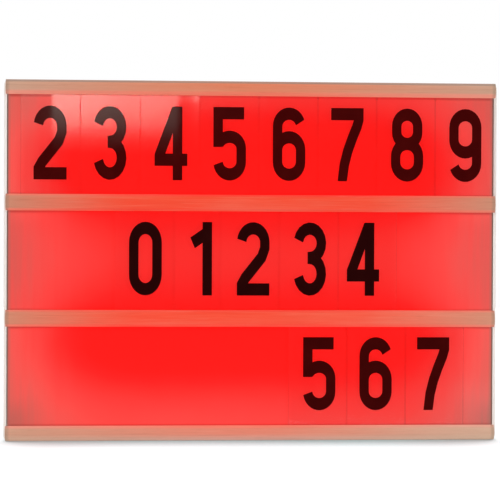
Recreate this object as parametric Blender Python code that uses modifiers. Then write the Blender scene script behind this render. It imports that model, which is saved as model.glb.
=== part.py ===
"""Cinema light box, A4 size, for Blender 4.5.

A white moulded case carries a milky panel in front and a screwed cover behind. Four wood-look rails
clip through the panel and hold three rows of clear slide-in tiles. The cover carries the battery bay
with its hinged lid, two LED strips and a small control board.

Frame: metres, +Z up, X to the right as seen from the front, the front faces -Y. The origin is at the
middle of the underside.
"""

import math

import bmesh
import bpy
from mathutils import Matrix, Vector

# Fits
SEAT = 0.0003  # between pieces that rest on each other
RUN = 0.00035  # beside a piece that slides or turns
OVERRUN = 0.004  # how far a cutter passes what it cuts
WELD = 0.0006  # how far a boss or rib sinks into the wall that carries it
MERGE = 0.00001  # points this close become one

# Tiles
TILE_WIDTH = 0.036
NARROW_TILE_WIDTH = 0.028
TILE_THICKNESS = 0.001
TILE_GAP = 0.00035
TILE_CORNER = 0.0012
TILE_TOP_PLAY = 0.0005
TOP_ROW_COUNT = 8
TOP_ROW_START = 0.0087  # from the rails' left end to the first tile
TOP_ROW_SPARE = 0.00085  # rail left over behind the last tile
MIDDLE_ROW_START = 0.066
BOTTOM_ROW_START = 0.1726
MIDDLE_ROW_COUNT = 5
MIDDLE_ROW_NARROW = 1  # index of the narrow tile in the middle row
BOTTOM_ROW_COUNT = 3

# Rails
RAIL_LENGTH = TOP_ROW_START + TOP_ROW_COUNT * (TILE_WIDTH + TILE_GAP) - TILE_GAP + TOP_ROW_SPARE
WINDOW_HEIGHT = 0.0606
TOP_RAIL_HEIGHT = 0.0088
MIDDLE_RAIL_HEIGHT = 0.0101
BOTTOM_RAIL_HEIGHT = 0.0092
CROWN_RISE = 0.0016
LIP_EDGE = 0.0011
TILE_GROOVE = 0.0017
GROOVE_REACH = 0.0028
CROWN_STEPS = 10
LEG_COUNT = 6
LEG_PITCH = 0.050
LEG_WIDTH = 0.006
LEG_HEIGHT = 0.002
LEG_LENGTH = 0.0055
BARB_REACH = 0.0008
BARB_LENGTH = 0.0016

# Case
RIM_SHOWN = 0.0015  # rim past each end of the rails
CASE_WIDTH = RAIL_LENGTH + 2 * RIM_SHOWN
CASE_HEIGHT = BOTTOM_RAIL_HEIGHT + 2 * MIDDLE_RAIL_HEIGHT + TOP_RAIL_HEIGHT + 3 * WINDOW_HEIGHT
CASE_DEPTH = 0.050  # crowns of the rails to the back cover
WALL = 0.0018
CASE_CORNER = 0.003
CASE_EDGE = 0.0008
LEDGE_WIDTH = 0.0014
LEDGE_THICKNESS = 0.002
PANEL_THICKNESS = 0.002
PANEL_PLAY = 0.0004
BOSS_RADIUS = 0.0035
BOSS_LENGTH = 0.014
BOSS_INSET = 0.0062
GUSSET_WIDTH = 0.0024

# Back cover
COVER_THICKNESS = 0.002
COVER_EDGE = 0.0005
POCKET_RADIUS = 0.0032
POCKET_DEPTH = 0.0022
POCKET_FLOOR = 0.0018
PAD_WALL = 0.0014
SCREW_HOLE_RADIUS = 0.0016

# Case screws
SCREW_HEAD_RADIUS = 0.0026
SCREW_HEAD_HEIGHT = 0.0017
SCREW_SHANK_RADIUS = 0.0011
SCREW_LENGTH = 0.010
CROSS_REACH = 0.0017
CROSS_WIDTH = 0.0006
CROSS_DEPTH = 0.0009

# Cells and their bay
CELL_RADIUS = 0.00715
CELL_LENGTH = 0.0503
CELL_NUB_RADIUS = 0.0027
CELL_NUB_HEIGHT = 0.0014
CELL_EDGE = 0.0007
CELL_PITCH = 0.0149
CELL_COUNT = 6
CELL_PLAY = 0.0004
BAY_SIDE_PLAY = 0.0005
BAY_WALL = 0.0016
CELL_RIDGE_WIDTH = 0.0012
CELL_RIDGE_HEIGHT = 0.003
CELL_RIDGE_LENGTH = 0.040

# Contacts
PLATE_THICKNESS = 0.0005
PLATE_DEPTH = 0.0105
PLATE_MARGIN = 0.004  # plate past the axis of its cell
SPRING_HEIGHT = 0.005
SPRING_WIRE = 0.0007
SPRING_BASE_RADIUS = 0.0042
SPRING_TIP_RADIUS = 0.0024
SPRING_CURLS = 3
SPRING_POINTS = 9  # per curl
SPRING_LIFT = 0.0008  # first curl above its plate
TAIL_WIDTH = 0.003
TAIL_LENGTH = 0.0045
TAIL_SLIT_PLAY = 0.0004

# Battery cover
LID_MARGIN_SIDE = 0.0038  # lid past the bay's opening at the sides
LID_MARGIN_END = 0.0048  # and at both ends
LID_THICKNESS = 0.002
LID_STEP_WALL = 0.002
LID_RIB_WIDTH = 0.0012
LID_RIB_HEIGHT = 0.0004
LID_RIB_COUNT = 3
LID_RIB_PITCH = 0.0026
HOOK_WIDTH = 0.012
HOOK_SPACING = 0.056
HOOK_THICKNESS = 0.001
HOOK_REACH = 0.003
HOOK_ROOT = 0.0012
TONGUE_WIDTH = 0.014
TONGUE_REACH = 0.004
TONGUE_SLIT = 0.0012
TONGUE_SLIT_LENGTH = 0.009
NOTCH_EASE = 0.0008

# Dish with the controls
DISH_INSET = 0.050  # middle of the dish from the right side of the case
DISH_WIDTH = 0.058
DISH_HEIGHT = 0.016
DISH_CORNER = 0.003
DISH_DEPTH = 0.0015
DISH_FLOOR = 0.002
DISH_RIM = 0.002
SLIDER_PLACE = -0.017  # along the dish from its middle
BUTTON_PLACE = 0.0
SOCKET_PLACE = 0.017

# Power slider and its switch
SLIDER_TRAVEL = 0.004
THUMB_WIDTH = 0.0056
THUMB_HEIGHT = 0.0038
THUMB_TOP_GAP = 0.0002
THUMB_GROOVE = 0.0005
THUMB_GROOVE_COUNT = 4
THUMB_GROOVE_PITCH = 0.0011
SLIDER_FLANGE_WIDTH = 0.013
SLIDER_FLANGE_HEIGHT = 0.008
FLANGE_THICKNESS = 0.001
LEVER_SIZE = 0.0015
LEVER_REACH = 0.0015
SWITCH_WIDTH = 0.0092
SWITCH_HEIGHT = 0.0052
SWITCH_DEPTH = 0.0044
SWITCH_SLOT_DEPTH = 0.0022
SWITCH_TOP_GAP = 0.0006

# Button and its push switch
BUTTON_RADIUS = 0.0038
BUTTON_FLANGE_RADIUS = 0.0048
BUTTON_TRAVEL = 0.0008
BUTTON_EDGE = 0.0005
BUTTON_TOP_GAP = 0.0003
BUTTON_SIDES = 24
PUSH_SIZE = 0.006
PUSH_DEPTH = 0.0034
PUSH_NIB_RADIUS = 0.0017
PUSH_NIB_HEIGHT = 0.0004

# Power socket
SOCKET_WIDTH = 0.0090
SOCKET_HEIGHT = 0.0032
SOCKET_SHELL = 0.0003
SOCKET_BORE_DEPTH = 0.0062
SOCKET_TONGUE_WIDTH = 0.0066
SOCKET_TONGUE_THICKNESS = 0.0007
SOCKET_TONGUE_LENGTH = 0.0048
SOCKET_PROUD = 0.0007
SOCKET_PLAY = 0.0003

# Control board
BOARD_WIDTH = 0.052
BOARD_HEIGHT = 0.022
BOARD_THICKNESS = 0.0016
BOARD_CORNER = 0.001
BOARD_BOSS_RADIUS = 0.0025
BOARD_HOLE_RADIUS = 0.00125
BOARD_HOLE_INSET = 0.0035
BOARD_PILOT_DEPTH = 0.0055
BOARD_SCREW_HEAD_RADIUS = 0.0019
BOARD_SCREW_HEAD_HEIGHT = 0.0014
BOARD_SCREW_SHANK_RADIUS = 0.0009
BOARD_SCREW_LENGTH = 0.006
CHIP_LENGTH = 0.0062
CHIP_WIDTH = 0.005
CHIP_DEPTH = 0.0015
CHIP_PLACE = -0.004
COIL_RADIUS = 0.003
COIL_DEPTH = 0.003
COIL_PLACE = 0.007

# LED strips
LED_STANDOFF = 0.0132
LED_BOARD_LENGTH = 0.214
LED_BOARD_HEIGHT = 0.009
LED_BOARD_THICKNESS = 0.0012
LED_COUNT = 12
LED_END_MARGIN = 0.0077  # bare strip past the outermost LEDs
LED_SIZE = 0.005
LED_DEPTH = 0.0016
LED_TO_WIRE = 0.00025
LED_POST_COUNT = 5
LED_POST_MARGIN = 0.0065  # strip past the outermost posts
LED_POST_WIDTH = 0.009
LED_POST_HEIGHT = 0.006

# Wires
WIRE_RADIUS = 0.0007
WIRE_STEP = 0.0042  # between the points of a wire
CURVE_STEPS = 24
WIRE_BEND = 0.004
WIRE_LANE = 0.003  # between wires that run side by side
PAD_INSET = 0.005

# Mesh finish
ROUND_STEPS = 5  # facets in a quarter turn of a small corner
TURN_STEPS = 24  # sides of a cell or a boss
SCREW_SIDES = 16
HOLE_SIDES = 12
SMOOTH_ANGLE = math.radians(35)

# Places worked out from the sizes
RIGHT = CASE_WIDTH / 2
FRONT = -CASE_DEPTH / 2
BACK = CASE_DEPTH / 2
MIDDLE = CASE_HEIGHT / 2
INNER_HALF_WIDTH = CASE_WIDTH / 2 - WALL
INNER_LOW = WALL
INNER_HIGH = CASE_HEIGHT - WALL
LIP_BACK = FRONT + CROWN_RISE + LIP_EDGE
PANEL_FRONT = LIP_BACK + TILE_GROOVE
PANEL_BACK = PANEL_FRONT + PANEL_THICKNESS
COVER_INNER = BACK - COVER_THICKNESS
PAD_INNER = BACK - POCKET_DEPTH - POCKET_FLOOR
BOSS_END = PAD_INNER - SEAT
RAIL_BASES = (
    0.0,
    BOTTOM_RAIL_HEIGHT + WINDOW_HEIGHT,
    BOTTOM_RAIL_HEIGHT + MIDDLE_RAIL_HEIGHT + 2 * WINDOW_HEIGHT,
    CASE_HEIGHT - TOP_RAIL_HEIGHT,
)
CELL_AXIS = COVER_INNER - CELL_PLAY - CELL_RADIUS
BAY_FLOOR = CELL_AXIS - CELL_RADIUS - CELL_PLAY
BAY_HALF_WIDTH = CELL_COUNT * CELL_PITCH / 2 + BAY_SIDE_PLAY
PLATE_SEAT = SEAT + PLATE_THICKNESS
BAY_HALF_HEIGHT = (CELL_LENGTH + SPRING_HEIGHT + 2 * SEAT + 2 * PLATE_SEAT) / 2
LID_HALF_WIDTH = BAY_HALF_WIDTH + LID_MARGIN_SIDE
LID_HALF_HEIGHT = BAY_HALF_HEIGHT + LID_MARGIN_END
LID_INNER = BACK - LID_THICKNESS
LID_SEAT = LID_INNER - SEAT
LID_LOW = MIDDLE - LID_HALF_HEIGHT
LID_HIGH = MIDDLE + LID_HALF_HEIGHT
DISH_X = RIGHT - DISH_INSET
DISH_BED = BACK - DISH_DEPTH
DISH_INNER = DISH_BED - DISH_FLOOR
FLANGE_TOP = DISH_INNER - SEAT
SWITCH_TOP = FLANGE_TOP - FLANGE_THICKNESS - SWITCH_TOP_GAP
BOARD_BACK = SWITCH_TOP - SWITCH_DEPTH - SEAT
BOARD_FRONT = BOARD_BACK - BOARD_THICKNESS
LED_POST_END = COVER_INNER - LED_STANDOFF
LED_BOARD_BACK = LED_POST_END - SEAT
LED_PITCH = (LED_BOARD_LENGTH - 2 * LED_END_MARGIN - LED_SIZE) / (LED_COUNT - 1)
LED_POST_PITCH = (LED_BOARD_LENGTH - 2 * LED_POST_MARGIN - LED_POST_WIDTH) / (LED_POST_COUNT - 1)
LANES_END = BAY_HALF_HEIGHT + TAIL_LENGTH + SEAT + WIRE_BEND + WIRE_LANE + WIRE_RADIUS
LED_OFFSET = LANES_END + LED_TO_WIRE + LED_BOARD_HEIGHT / 2  # strips above and below the middle

UPRIGHT = (math.pi / 2, 0.0, 0.0)  # local X, Y, Z become world X, Z, -Y
LENGTHWISE = (math.pi / 2, 0.0, math.pi / 2)  # local X, Y, Z become world Y, Z, X
TO_BACK = (-math.pi / 2, 0.0, 0.0)  # local Z becomes world +Y


def clear_scene():
    for found in list(bpy.data.objects):
        bpy.data.objects.remove(found)


def new_collection(name):
    made = bpy.data.collections.new(name)
    bpy.context.scene.collection.children.link(made)
    return made


def new_material(name, colour, roughness, metallic=0.0):
    made = bpy.data.materials.new(name)
    made.use_nodes = True
    shader = made.node_tree.nodes["Principled BSDF"]
    shader.inputs["Base Color"].default_value = (*colour, 1.0)
    shader.inputs["Roughness"].default_value = roughness
    shader.inputs["Metallic"].default_value = metallic
    return made


clear_scene()
PARTS = new_collection("cinema_light_box")
HELPERS = new_collection("helpers")

CASE_WHITE = new_material("case_white", (0.80, 0.78, 0.72), 0.5)
LID_WHITE = new_material("lid_white", (0.78, 0.76, 0.70), 0.5)
WOOD_LOOK = new_material("wood_look", (0.62, 0.36, 0.20), 0.45)
MILKY = new_material("milky_panel", (0.95, 0.35, 0.30), 0.4)
CLEAR = new_material("clear_tile", (0.90, 0.92, 0.94), 0.1)
CONTROL_BLACK = new_material("control_black", (0.03, 0.03, 0.035), 0.4)
BOARD_GREEN = new_material("board_green", (0.03, 0.22, 0.08), 0.4)
STRIP_WHITE = new_material("strip_white", (0.85, 0.85, 0.80), 0.4)
CELL_GREY = new_material("cell_grey", (0.12, 0.13, 0.15), 0.3, 0.4)
CONTACT_STEEL = new_material("contact_steel", (0.70, 0.70, 0.68), 0.25, 1.0)
SCREW_STEEL = new_material("screw_steel", (0.45, 0.45, 0.46), 0.3, 1.0)
WIRE_RED = new_material("wire_red", (0.60, 0.03, 0.02), 0.5)
WIRE_BLACK = new_material("wire_black", (0.02, 0.02, 0.02), 0.5)


def place(made, centre, turn=(0.0, 0.0, 0.0)):
    """Puts an object on the helper shelf; keep() later moves the real parts off it."""
    made.location = centre
    made.rotation_euler = turn
    made.hide_render = True
    made.display_type = "WIRE"
    HELPERS.objects.link(made)
    return made


def keep(made, material):
    """Turns a helper into a part of the light box."""
    HELPERS.objects.unlink(made)
    PARTS.objects.link(made)
    made.hide_render = False
    made.display_type = "TEXTURED"
    made.data.materials.clear()
    made.data.materials.append(material)
    if made.type == "MESH":
        made.data.shade_smooth()
        made.data.set_sharp_from_angle(angle=SMOOTH_ANGLE)
    return made


def block(name, centre, size):
    """Box from a cube primitive, scaled in its mesh."""
    bm = bmesh.new()
    bmesh.ops.create_cube(bm, size=1)
    bmesh.ops.scale(bm, vec=size, verts=bm.verts)
    mesh = bpy.data.meshes.new(name)
    bm.to_mesh(mesh)
    bm.free()
    return place(bpy.data.objects.new(name, mesh), centre)


def block_between(name, low, high):
    low, high = Vector(low), Vector(high)
    return block(name, (low + high) / 2, high - low)


def rod(name, centre, radius, length, turn=TO_BACK, sides=TURN_STEPS):
    """Cylinder; by default it lies along Y."""
    bm = bmesh.new()
    bmesh.ops.create_cone(
        bm, cap_ends=True, segments=sides, radius1=radius, radius2=radius, depth=length
    )
    mesh = bpy.data.meshes.new(name)
    bm.to_mesh(mesh)
    bm.free()
    return place(bpy.data.objects.new(name, mesh), centre, turn)


def rod_between(name, x, z, radius, start, end, sides=TURN_STEPS):
    """Cylinder along Y from one depth to another."""
    return rod(name, (x, (start + end) / 2, z), radius, abs(end - start), TO_BACK, sides)


def meshed(curve_object):
    """Swaps a curve object for its mesh, with the caps welded."""
    graph = bpy.context.evaluated_depsgraph_get()
    mesh = bpy.data.meshes.new_from_object(curve_object.evaluated_get(graph))
    bm = bmesh.new()
    bm.from_mesh(mesh)
    bmesh.ops.remove_doubles(bm, verts=bm.verts, dist=MERGE)
    bmesh.ops.recalc_face_normals(bm, faces=bm.faces)
    bm.to_mesh(mesh)
    bm.free()
    name = curve_object.name
    where = curve_object.matrix_world.copy()
    bpy.data.objects.remove(curve_object)
    made = bpy.data.objects.new(name, mesh)
    place(made, (0.0, 0.0, 0.0))
    made.matrix_world = where
    return made


def flat_shape(name, outline, thickness, centre, turn=UPRIGHT):
    """Flat outline, filled and given a thickness."""
    curve = bpy.data.curves.new(name, "CURVE")
    curve.dimensions = "2D"
    curve.fill_mode = "BOTH"
    curve.extrude = thickness / 2
    spline = curve.splines.new("POLY")
    spline.points.add(len(outline) - 1)
    for point, (across, up) in zip(spline.points, outline):
        point.co = (across, up, 0.0, 1.0)
    spline.use_cyclic_u = True
    made = place(bpy.data.objects.new(name, curve), centre, turn)
    bpy.context.view_layer.update()
    return meshed(made)


def rounded(width, height, radius, steps=ROUND_STEPS):
    """Outline of a rectangle with round corners."""
    points = []
    for index in range(4):
        side_x = 1 if index in (0, 3) else -1
        side_y = 1 if index < 2 else -1
        middle_x = side_x * (width / 2 - radius)
        middle_y = side_y * (height / 2 - radius)
        for step in range(steps + 1):
            angle = (index + step / steps) * math.pi / 2
            points.append((middle_x + radius * math.cos(angle), middle_y + radius * math.sin(angle)))
    return points


def slab(name, x, z, width, height, radius, start, end):
    """Rounded plate that faces front and back, from one depth to another."""
    return flat_shape(
        name, rounded(width, height, radius), abs(end - start), (x, (start + end) / 2, z)
    )


def turned(name, profile, centre, turn=TO_BACK, steps=TURN_STEPS):
    """Solid of revolution round the local Z axis; the profile runs down its outer side."""
    mesh = bpy.data.meshes.new(name)
    bm = bmesh.new()
    row = [bm.verts.new((radius, 0.0, height)) for radius, height in profile]
    for first, second in zip(row, row[1:]):
        bm.edges.new((first, second))
    bm.to_mesh(mesh)
    bm.free()
    made = place(bpy.data.objects.new(name, mesh), centre, turn)
    screw = made.modifiers.new("turn", "SCREW")
    screw.steps = steps
    screw.render_steps = steps
    screw.use_merge_vertices = True
    screw.merge_threshold = MERGE
    return made


def combine(target, operation, others):
    for other in others:
        step = target.modifiers.new(other.name, "BOOLEAN")
        step.operation = operation
        step.solver = "EXACT"
        step.object = other
    return target


def join(target, *others):
    return combine(target, "UNION", others)


def cut(target, *others):
    return combine(target, "DIFFERENCE", others)


def soften(target, width, segments=2):
    bevel = target.modifiers.new("soft_edges", "BEVEL")
    bevel.width = width
    bevel.segments = segments
    bevel.limit_method = "ANGLE"
    bevel.angle_limit = math.radians(50)
    return target


def spread(count, pitch):
    """Places of equal steps about zero."""
    return [(index - (count - 1) / 2) * pitch for index in range(count)]


# Case


def boss_places():
    """The six case screws: four corners and the middle of the top and bottom walls."""
    side = INNER_HALF_WIDTH - BOSS_INSET
    low = INNER_LOW + BOSS_INSET
    high = INNER_HIGH - BOSS_INSET
    return [(x, z) for z in (low, high) for x in (-side, 0.0, side)]


def make_case():
    """Frame of four walls with a ledge for the panel and six gusseted screw bosses."""
    case = slab(
        "case", 0.0, MIDDLE, CASE_WIDTH, CASE_HEIGHT, CASE_CORNER, PANEL_FRONT, BACK
    )
    soften(case, CASE_EDGE)
    inner_radius = CASE_CORNER - WALL
    inner_width = 2 * INNER_HALF_WIDTH
    inner_height = INNER_HIGH - INNER_LOW
    ledge_front = PANEL_BACK + SEAT
    ledge_back = ledge_front + LEDGE_THICKNESS
    behind = slab(
        "case_hollow", 0.0, MIDDLE, inner_width, inner_height, inner_radius, ledge_back, BACK + OVERRUN
    )
    before = slab(
        "case_panel_seat", 0.0, MIDDLE, inner_width, inner_height, inner_radius,
        PANEL_FRONT - OVERRUN, ledge_front,
    )
    window = block(
        "case_window",
        (0.0, ledge_front, MIDDLE),
        (
            inner_width - 2 * LEDGE_WIDTH,
            2 * (LEDGE_THICKNESS + OVERRUN),
            inner_height - 2 * LEDGE_WIDTH,
        ),
    )
    cut(case, behind, before, window)
    for index, (x, z) in enumerate(boss_places()):
        start = BOSS_END - BOSS_LENGTH
        boss = rod_between(f"case_boss_{index}", x, z, BOSS_RADIUS, start, BOSS_END)
        wall_z = INNER_LOW - WELD if z < MIDDLE else INNER_HIGH + WELD
        upright = block_between(
            f"case_gusset_{index}",
            (x - GUSSET_WIDTH / 2, start + WELD, min(z, wall_z)),
            (x + GUSSET_WIDTH / 2, BOSS_END - WELD, max(z, wall_z)),
        )
        join(case, boss, upright)
        if x:
            wall_x = math.copysign(INNER_HALF_WIDTH + WELD, x)
            sideways = block_between(
                f"case_side_gusset_{index}",
                (min(x, wall_x), start + WELD, z - GUSSET_WIDTH / 2),
                (max(x, wall_x), BOSS_END - WELD, z + GUSSET_WIDTH / 2),
            )
            join(case, sideways)
    for index, (x, z) in enumerate(boss_places()):
        pilot = rod_between(
            f"case_pilot_{index}", x, z, SCREW_SHANK_RADIUS + SEAT,
            BOSS_END - SCREW_LENGTH, BOSS_END + OVERRUN, HOLE_SIDES,
        )
        cut(case, pilot)
    return keep(case, CASE_WHITE)


# Panel and rails


def leg_band(base, height, below, above):
    """Lowest and highest point of a rail's legs: they stand in the middle of a middle rail, and
    against the groove on an outer one."""
    if below and above:
        low = base + (height - LEG_HEIGHT) / 2
    elif below:
        low = base + GROOVE_REACH + RUN
    else:
        low = base + height - GROOVE_REACH - RUN - LEG_HEIGHT
    return low, low + LEG_HEIGHT


def rail_table():
    """Name, base, height, groove below, groove above."""
    bottom, lower, upper, top = RAIL_BASES
    return [
        ("bottom_rail", bottom, BOTTOM_RAIL_HEIGHT, False, True),
        ("lower_middle_rail", lower, MIDDLE_RAIL_HEIGHT, True, True),
        ("upper_middle_rail", upper, MIDDLE_RAIL_HEIGHT, True, True),
        ("top_rail", top, TOP_RAIL_HEIGHT, True, False),
    ]


def make_panel():
    """Milky sheet with a slot for each leg of the rails."""
    width = 2 * (INNER_HALF_WIDTH - PANEL_PLAY)
    height = INNER_HIGH - INNER_LOW - 2 * PANEL_PLAY
    panel = block(
        "diffuser_panel",
        (0.0, (PANEL_FRONT + PANEL_BACK) / 2, MIDDLE),
        (width, PANEL_THICKNESS, height),
    )
    for rail, base, tall, below, above in rail_table():
        low, high = leg_band(base, tall, below, above)
        for index, x in enumerate(spread(LEG_COUNT, LEG_PITCH)):
            hole = block_between(
                f"{rail}_hole_{index}",
                (x - LEG_WIDTH / 2 - SEAT, PANEL_FRONT - OVERRUN, low - SEAT),
                (x + LEG_WIDTH / 2 + SEAT, PANEL_BACK + OVERRUN, high + SEAT),
            )
            cut(panel, hole)
    return keep(panel, MILKY)


def rail_outline(height, below, above):
    """Section of a rail in depth and height, its base at zero: crowned front, a lip over each tile
    groove, and the stem that meets the panel."""
    stem_low = GROOVE_REACH if below else 0.0
    stem_high = height - GROOVE_REACH if above else height
    back = PANEL_FRONT - SEAT
    edge = LIP_BACK - LIP_EDGE
    points = [(back, stem_low), (back, stem_high)]
    if above:
        points += [(LIP_BACK, stem_high), (LIP_BACK, height)]
    radius = (height * height / 4 + CROWN_RISE * CROWN_RISE) / (2 * CROWN_RISE)
    half_angle = math.asin(height / 2 / radius)
    for step in range(CROWN_STEPS + 1):
        angle = half_angle * (1 - 2 * step / CROWN_STEPS)
        reach = radius * (math.cos(angle) - math.cos(half_angle))
        points.append((edge - reach, height / 2 + radius * math.sin(angle)))
    if below:
        points += [(LIP_BACK, 0.0), (LIP_BACK, stem_low)]
    return points[::-1]


def make_rail(name, base, height, below, above):
    """Extruded section with barbed legs that snap through the panel."""
    lift = SEAT if base == 0.0 else 0.0
    outline = [(depth, max(up, lift)) for depth, up in rail_outline(height, below, above)]
    rail = flat_shape(name, outline, RAIL_LENGTH, (0.0, 0.0, base), LENGTHWISE)
    low, high = leg_band(base, height, below, above)
    tip = PANEL_FRONT - SEAT + LEG_LENGTH
    barb = PANEL_BACK + SEAT
    for index, x in enumerate(spread(LEG_COUNT, LEG_PITCH)):
        left, right = x - LEG_WIDTH / 2, x + LEG_WIDTH / 2
        leg = block_between(
            f"{name}_leg_{index}", (left, PANEL_FRONT - SEAT - WELD, low), (right, tip, high)
        )
        barb_low = low - BARB_REACH if below else low + WELD
        barb_high = high + BARB_REACH if above else high - WELD
        hook = wedge(f"{name}_barb_{index}", left, right, barb, barb_low, barb_high, low, high)
        join(rail, leg, hook)
    return keep(rail, WOOD_LOOK)


def wedge(name, left, right, start, low, high, tip_low, tip_high):
    """Barb that is full height where it grips and tapers to the leg at its end."""
    end = start + BARB_LENGTH
    slim_low = max(tip_low + BARB_REACH / 4, low)
    slim_high = min(tip_high - BARB_REACH / 4, high)
    outline = [(start, low), (end, slim_low), (end, slim_high), (start, high)]
    middle = (left + right) / 2
    return flat_shape(name, outline, right - left - WELD, (middle, 0.0, 0.0), LENGTHWISE)


# Tiles


def tile_rows():
    """Name of the row, start from the rails' left end, and the width of each tile."""
    middle = [TILE_WIDTH] * MIDDLE_ROW_COUNT
    middle[MIDDLE_ROW_NARROW] = NARROW_TILE_WIDTH
    return [
        ("top", TOP_ROW_START, [TILE_WIDTH] * TOP_ROW_COUNT, RAIL_BASES[3]),
        ("middle", MIDDLE_ROW_START, middle, RAIL_BASES[2]),
        ("bottom", BOTTOM_ROW_START, [TILE_WIDTH] * BOTTOM_ROW_COUNT, RAIL_BASES[1]),
    ]


def make_tiles():
    height = WINDOW_HEIGHT + 2 * GROOVE_REACH - SEAT - TILE_TOP_PLAY
    depth = PANEL_FRONT - TILE_GROOVE / 2
    for row, start, widths, rail_above in tile_rows():
        low = rail_above - WINDOW_HEIGHT - GROOVE_REACH + SEAT
        x = start - RAIL_LENGTH / 2
        for index, width in enumerate(widths):
            tile = flat_shape(
                f"tile_{row}_{index + 1}",
                rounded(width, height, TILE_CORNER, 3),
                TILE_THICKNESS,
                (x + width / 2, depth, low + height / 2),
            )
            keep(tile, CLEAR)
            x += width + TILE_GAP


# Back cover


def make_cover():
    cover = slab(
        "back_cover", 0.0, MIDDLE,
        2 * (INNER_HALF_WIDTH - RUN), INNER_HIGH - INNER_LOW - 2 * RUN,
        CASE_CORNER - WALL, COVER_INNER, BACK,
    )
    soften(cover, COVER_EDGE)
    add_bay(cover)
    add_led_posts(cover)
    add_screw_pockets(cover)
    add_dish(cover)
    return keep(cover, CASE_WHITE)


def bay_block(name, half_width, half_height, start, end):
    return block_between(
        name,
        (-half_width, start, MIDDLE - half_height),
        (half_width, end, MIDDLE + half_height),
    )


def add_bay(cover):
    """Tray for the cells, the step that the battery cover lies in, and the slots for its hooks."""
    recess_width = LID_HALF_WIDTH + RUN
    recess_height = LID_HALF_HEIGHT + RUN
    step = bay_block(
        "bay_step", recess_width + LID_STEP_WALL, recess_height + LID_STEP_WALL + HOOK_REACH,
        LID_SEAT - BAY_WALL, COVER_INNER + WELD,
    )
    tray = bay_block(
        "bay_tray", BAY_HALF_WIDTH + BAY_WALL, BAY_HALF_HEIGHT + BAY_WALL,
        BAY_FLOOR - BAY_WALL, LID_SEAT - WELD,
    )
    recess = bay_block("bay_recess", recess_width, recess_height, LID_SEAT, BACK + OVERRUN)
    hollow = bay_block("bay_hollow", BAY_HALF_WIDTH, BAY_HALF_HEIGHT, BAY_FLOOR, BACK + OVERRUN)
    join(cover, step, tray)
    cut(cover, recess, hollow)
    for index, x in enumerate(spread(CELL_COUNT - 1, CELL_PITCH)):
        ridge = block_between(
            f"cell_ridge_{index}",
            (x - CELL_RIDGE_WIDTH / 2, BAY_FLOOR - WELD, MIDDLE - CELL_RIDGE_LENGTH / 2),
            (x + CELL_RIDGE_WIDTH / 2, BAY_FLOOR + CELL_RIDGE_HEIGHT, MIDDLE + CELL_RIDGE_LENGTH / 2),
        )
        join(cover, ridge)
    hook_turn = math.hypot(LID_THICKNESS + HOOK_THICKNESS + 2 * SEAT, HOOK_REACH) + RUN
    for index, x in enumerate(spread(2, HOOK_SPACING)):
        slot = block_between(
            f"hook_slot_{index}",
            (x - HOOK_WIDTH / 2 - RUN, BACK - hook_turn - RUN, LID_LOW - HOOK_REACH - 2 * RUN),
            (x + HOOK_WIDTH / 2 + RUN, LID_INNER, MIDDLE - BAY_HALF_HEIGHT - BAY_WALL),
        )
        cut(cover, slot)
    notch = block_between(
        "tongue_notch",
        (-TONGUE_WIDTH / 2 - NOTCH_EASE, LID_SEAT, LID_HIGH),
        (TONGUE_WIDTH / 2 + NOTCH_EASE, BACK + OVERRUN, LID_HIGH + TONGUE_REACH + RUN),
    )
    cut(cover, notch)
    for index, x in enumerate(terminal_places()):
        slit = block_between(
            f"tail_slit_{index}",
            (
                x - TAIL_WIDTH / 2 - TAIL_SLIT_PLAY,
                tail_depth() - PLATE_THICKNESS / 2 - TAIL_SLIT_PLAY,
                MIDDLE - BAY_HALF_HEIGHT - BAY_WALL - OVERRUN,
            ),
            (
                x + TAIL_WIDTH / 2 + TAIL_SLIT_PLAY,
                tail_depth() + PLATE_THICKNESS / 2 + TAIL_SLIT_PLAY,
                MIDDLE - BAY_HALF_HEIGHT + OVERRUN,
            ),
        )
        cut(cover, slit)


def led_heights():
    return (("upper", MIDDLE + LED_OFFSET), ("lower", MIDDLE - LED_OFFSET))


def add_led_posts(cover):
    for row, z in led_heights():
        for index, x in enumerate(spread(LED_POST_COUNT, LED_POST_PITCH)):
            post = block_between(
                f"{row}_post_{index}",
                (x - LED_POST_WIDTH / 2, LED_POST_END, z - LED_POST_HEIGHT / 2),
                (x + LED_POST_WIDTH / 2, COVER_INNER + WELD, z + LED_POST_HEIGHT / 2),
            )
            join(cover, post)


def add_screw_pockets(cover):
    for index, (x, z) in enumerate(boss_places()):
        pad = rod_between(
            f"screw_pad_{index}", x, z, POCKET_RADIUS + PAD_WALL, PAD_INNER, COVER_INNER + WELD
        )
        pocket = rod_between(
            f"screw_pocket_{index}", x, z, POCKET_RADIUS, BACK - POCKET_DEPTH, BACK + OVERRUN
        )
        hole = rod_between(
            f"screw_hole_{index}", x, z, SCREW_HOLE_RADIUS, PAD_INNER - OVERRUN, BACK, HOLE_SIDES
        )
        join(cover, pad)
        cut(cover, pocket, hole)


def board_screw_places():
    """Two opposite corners of the control board."""
    side = BOARD_WIDTH / 2 - BOARD_HOLE_INSET
    up = BOARD_HEIGHT / 2 - BOARD_HOLE_INSET
    return [(DISH_X - side, MIDDLE + up), (DISH_X + side, MIDDLE - up)]


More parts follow.
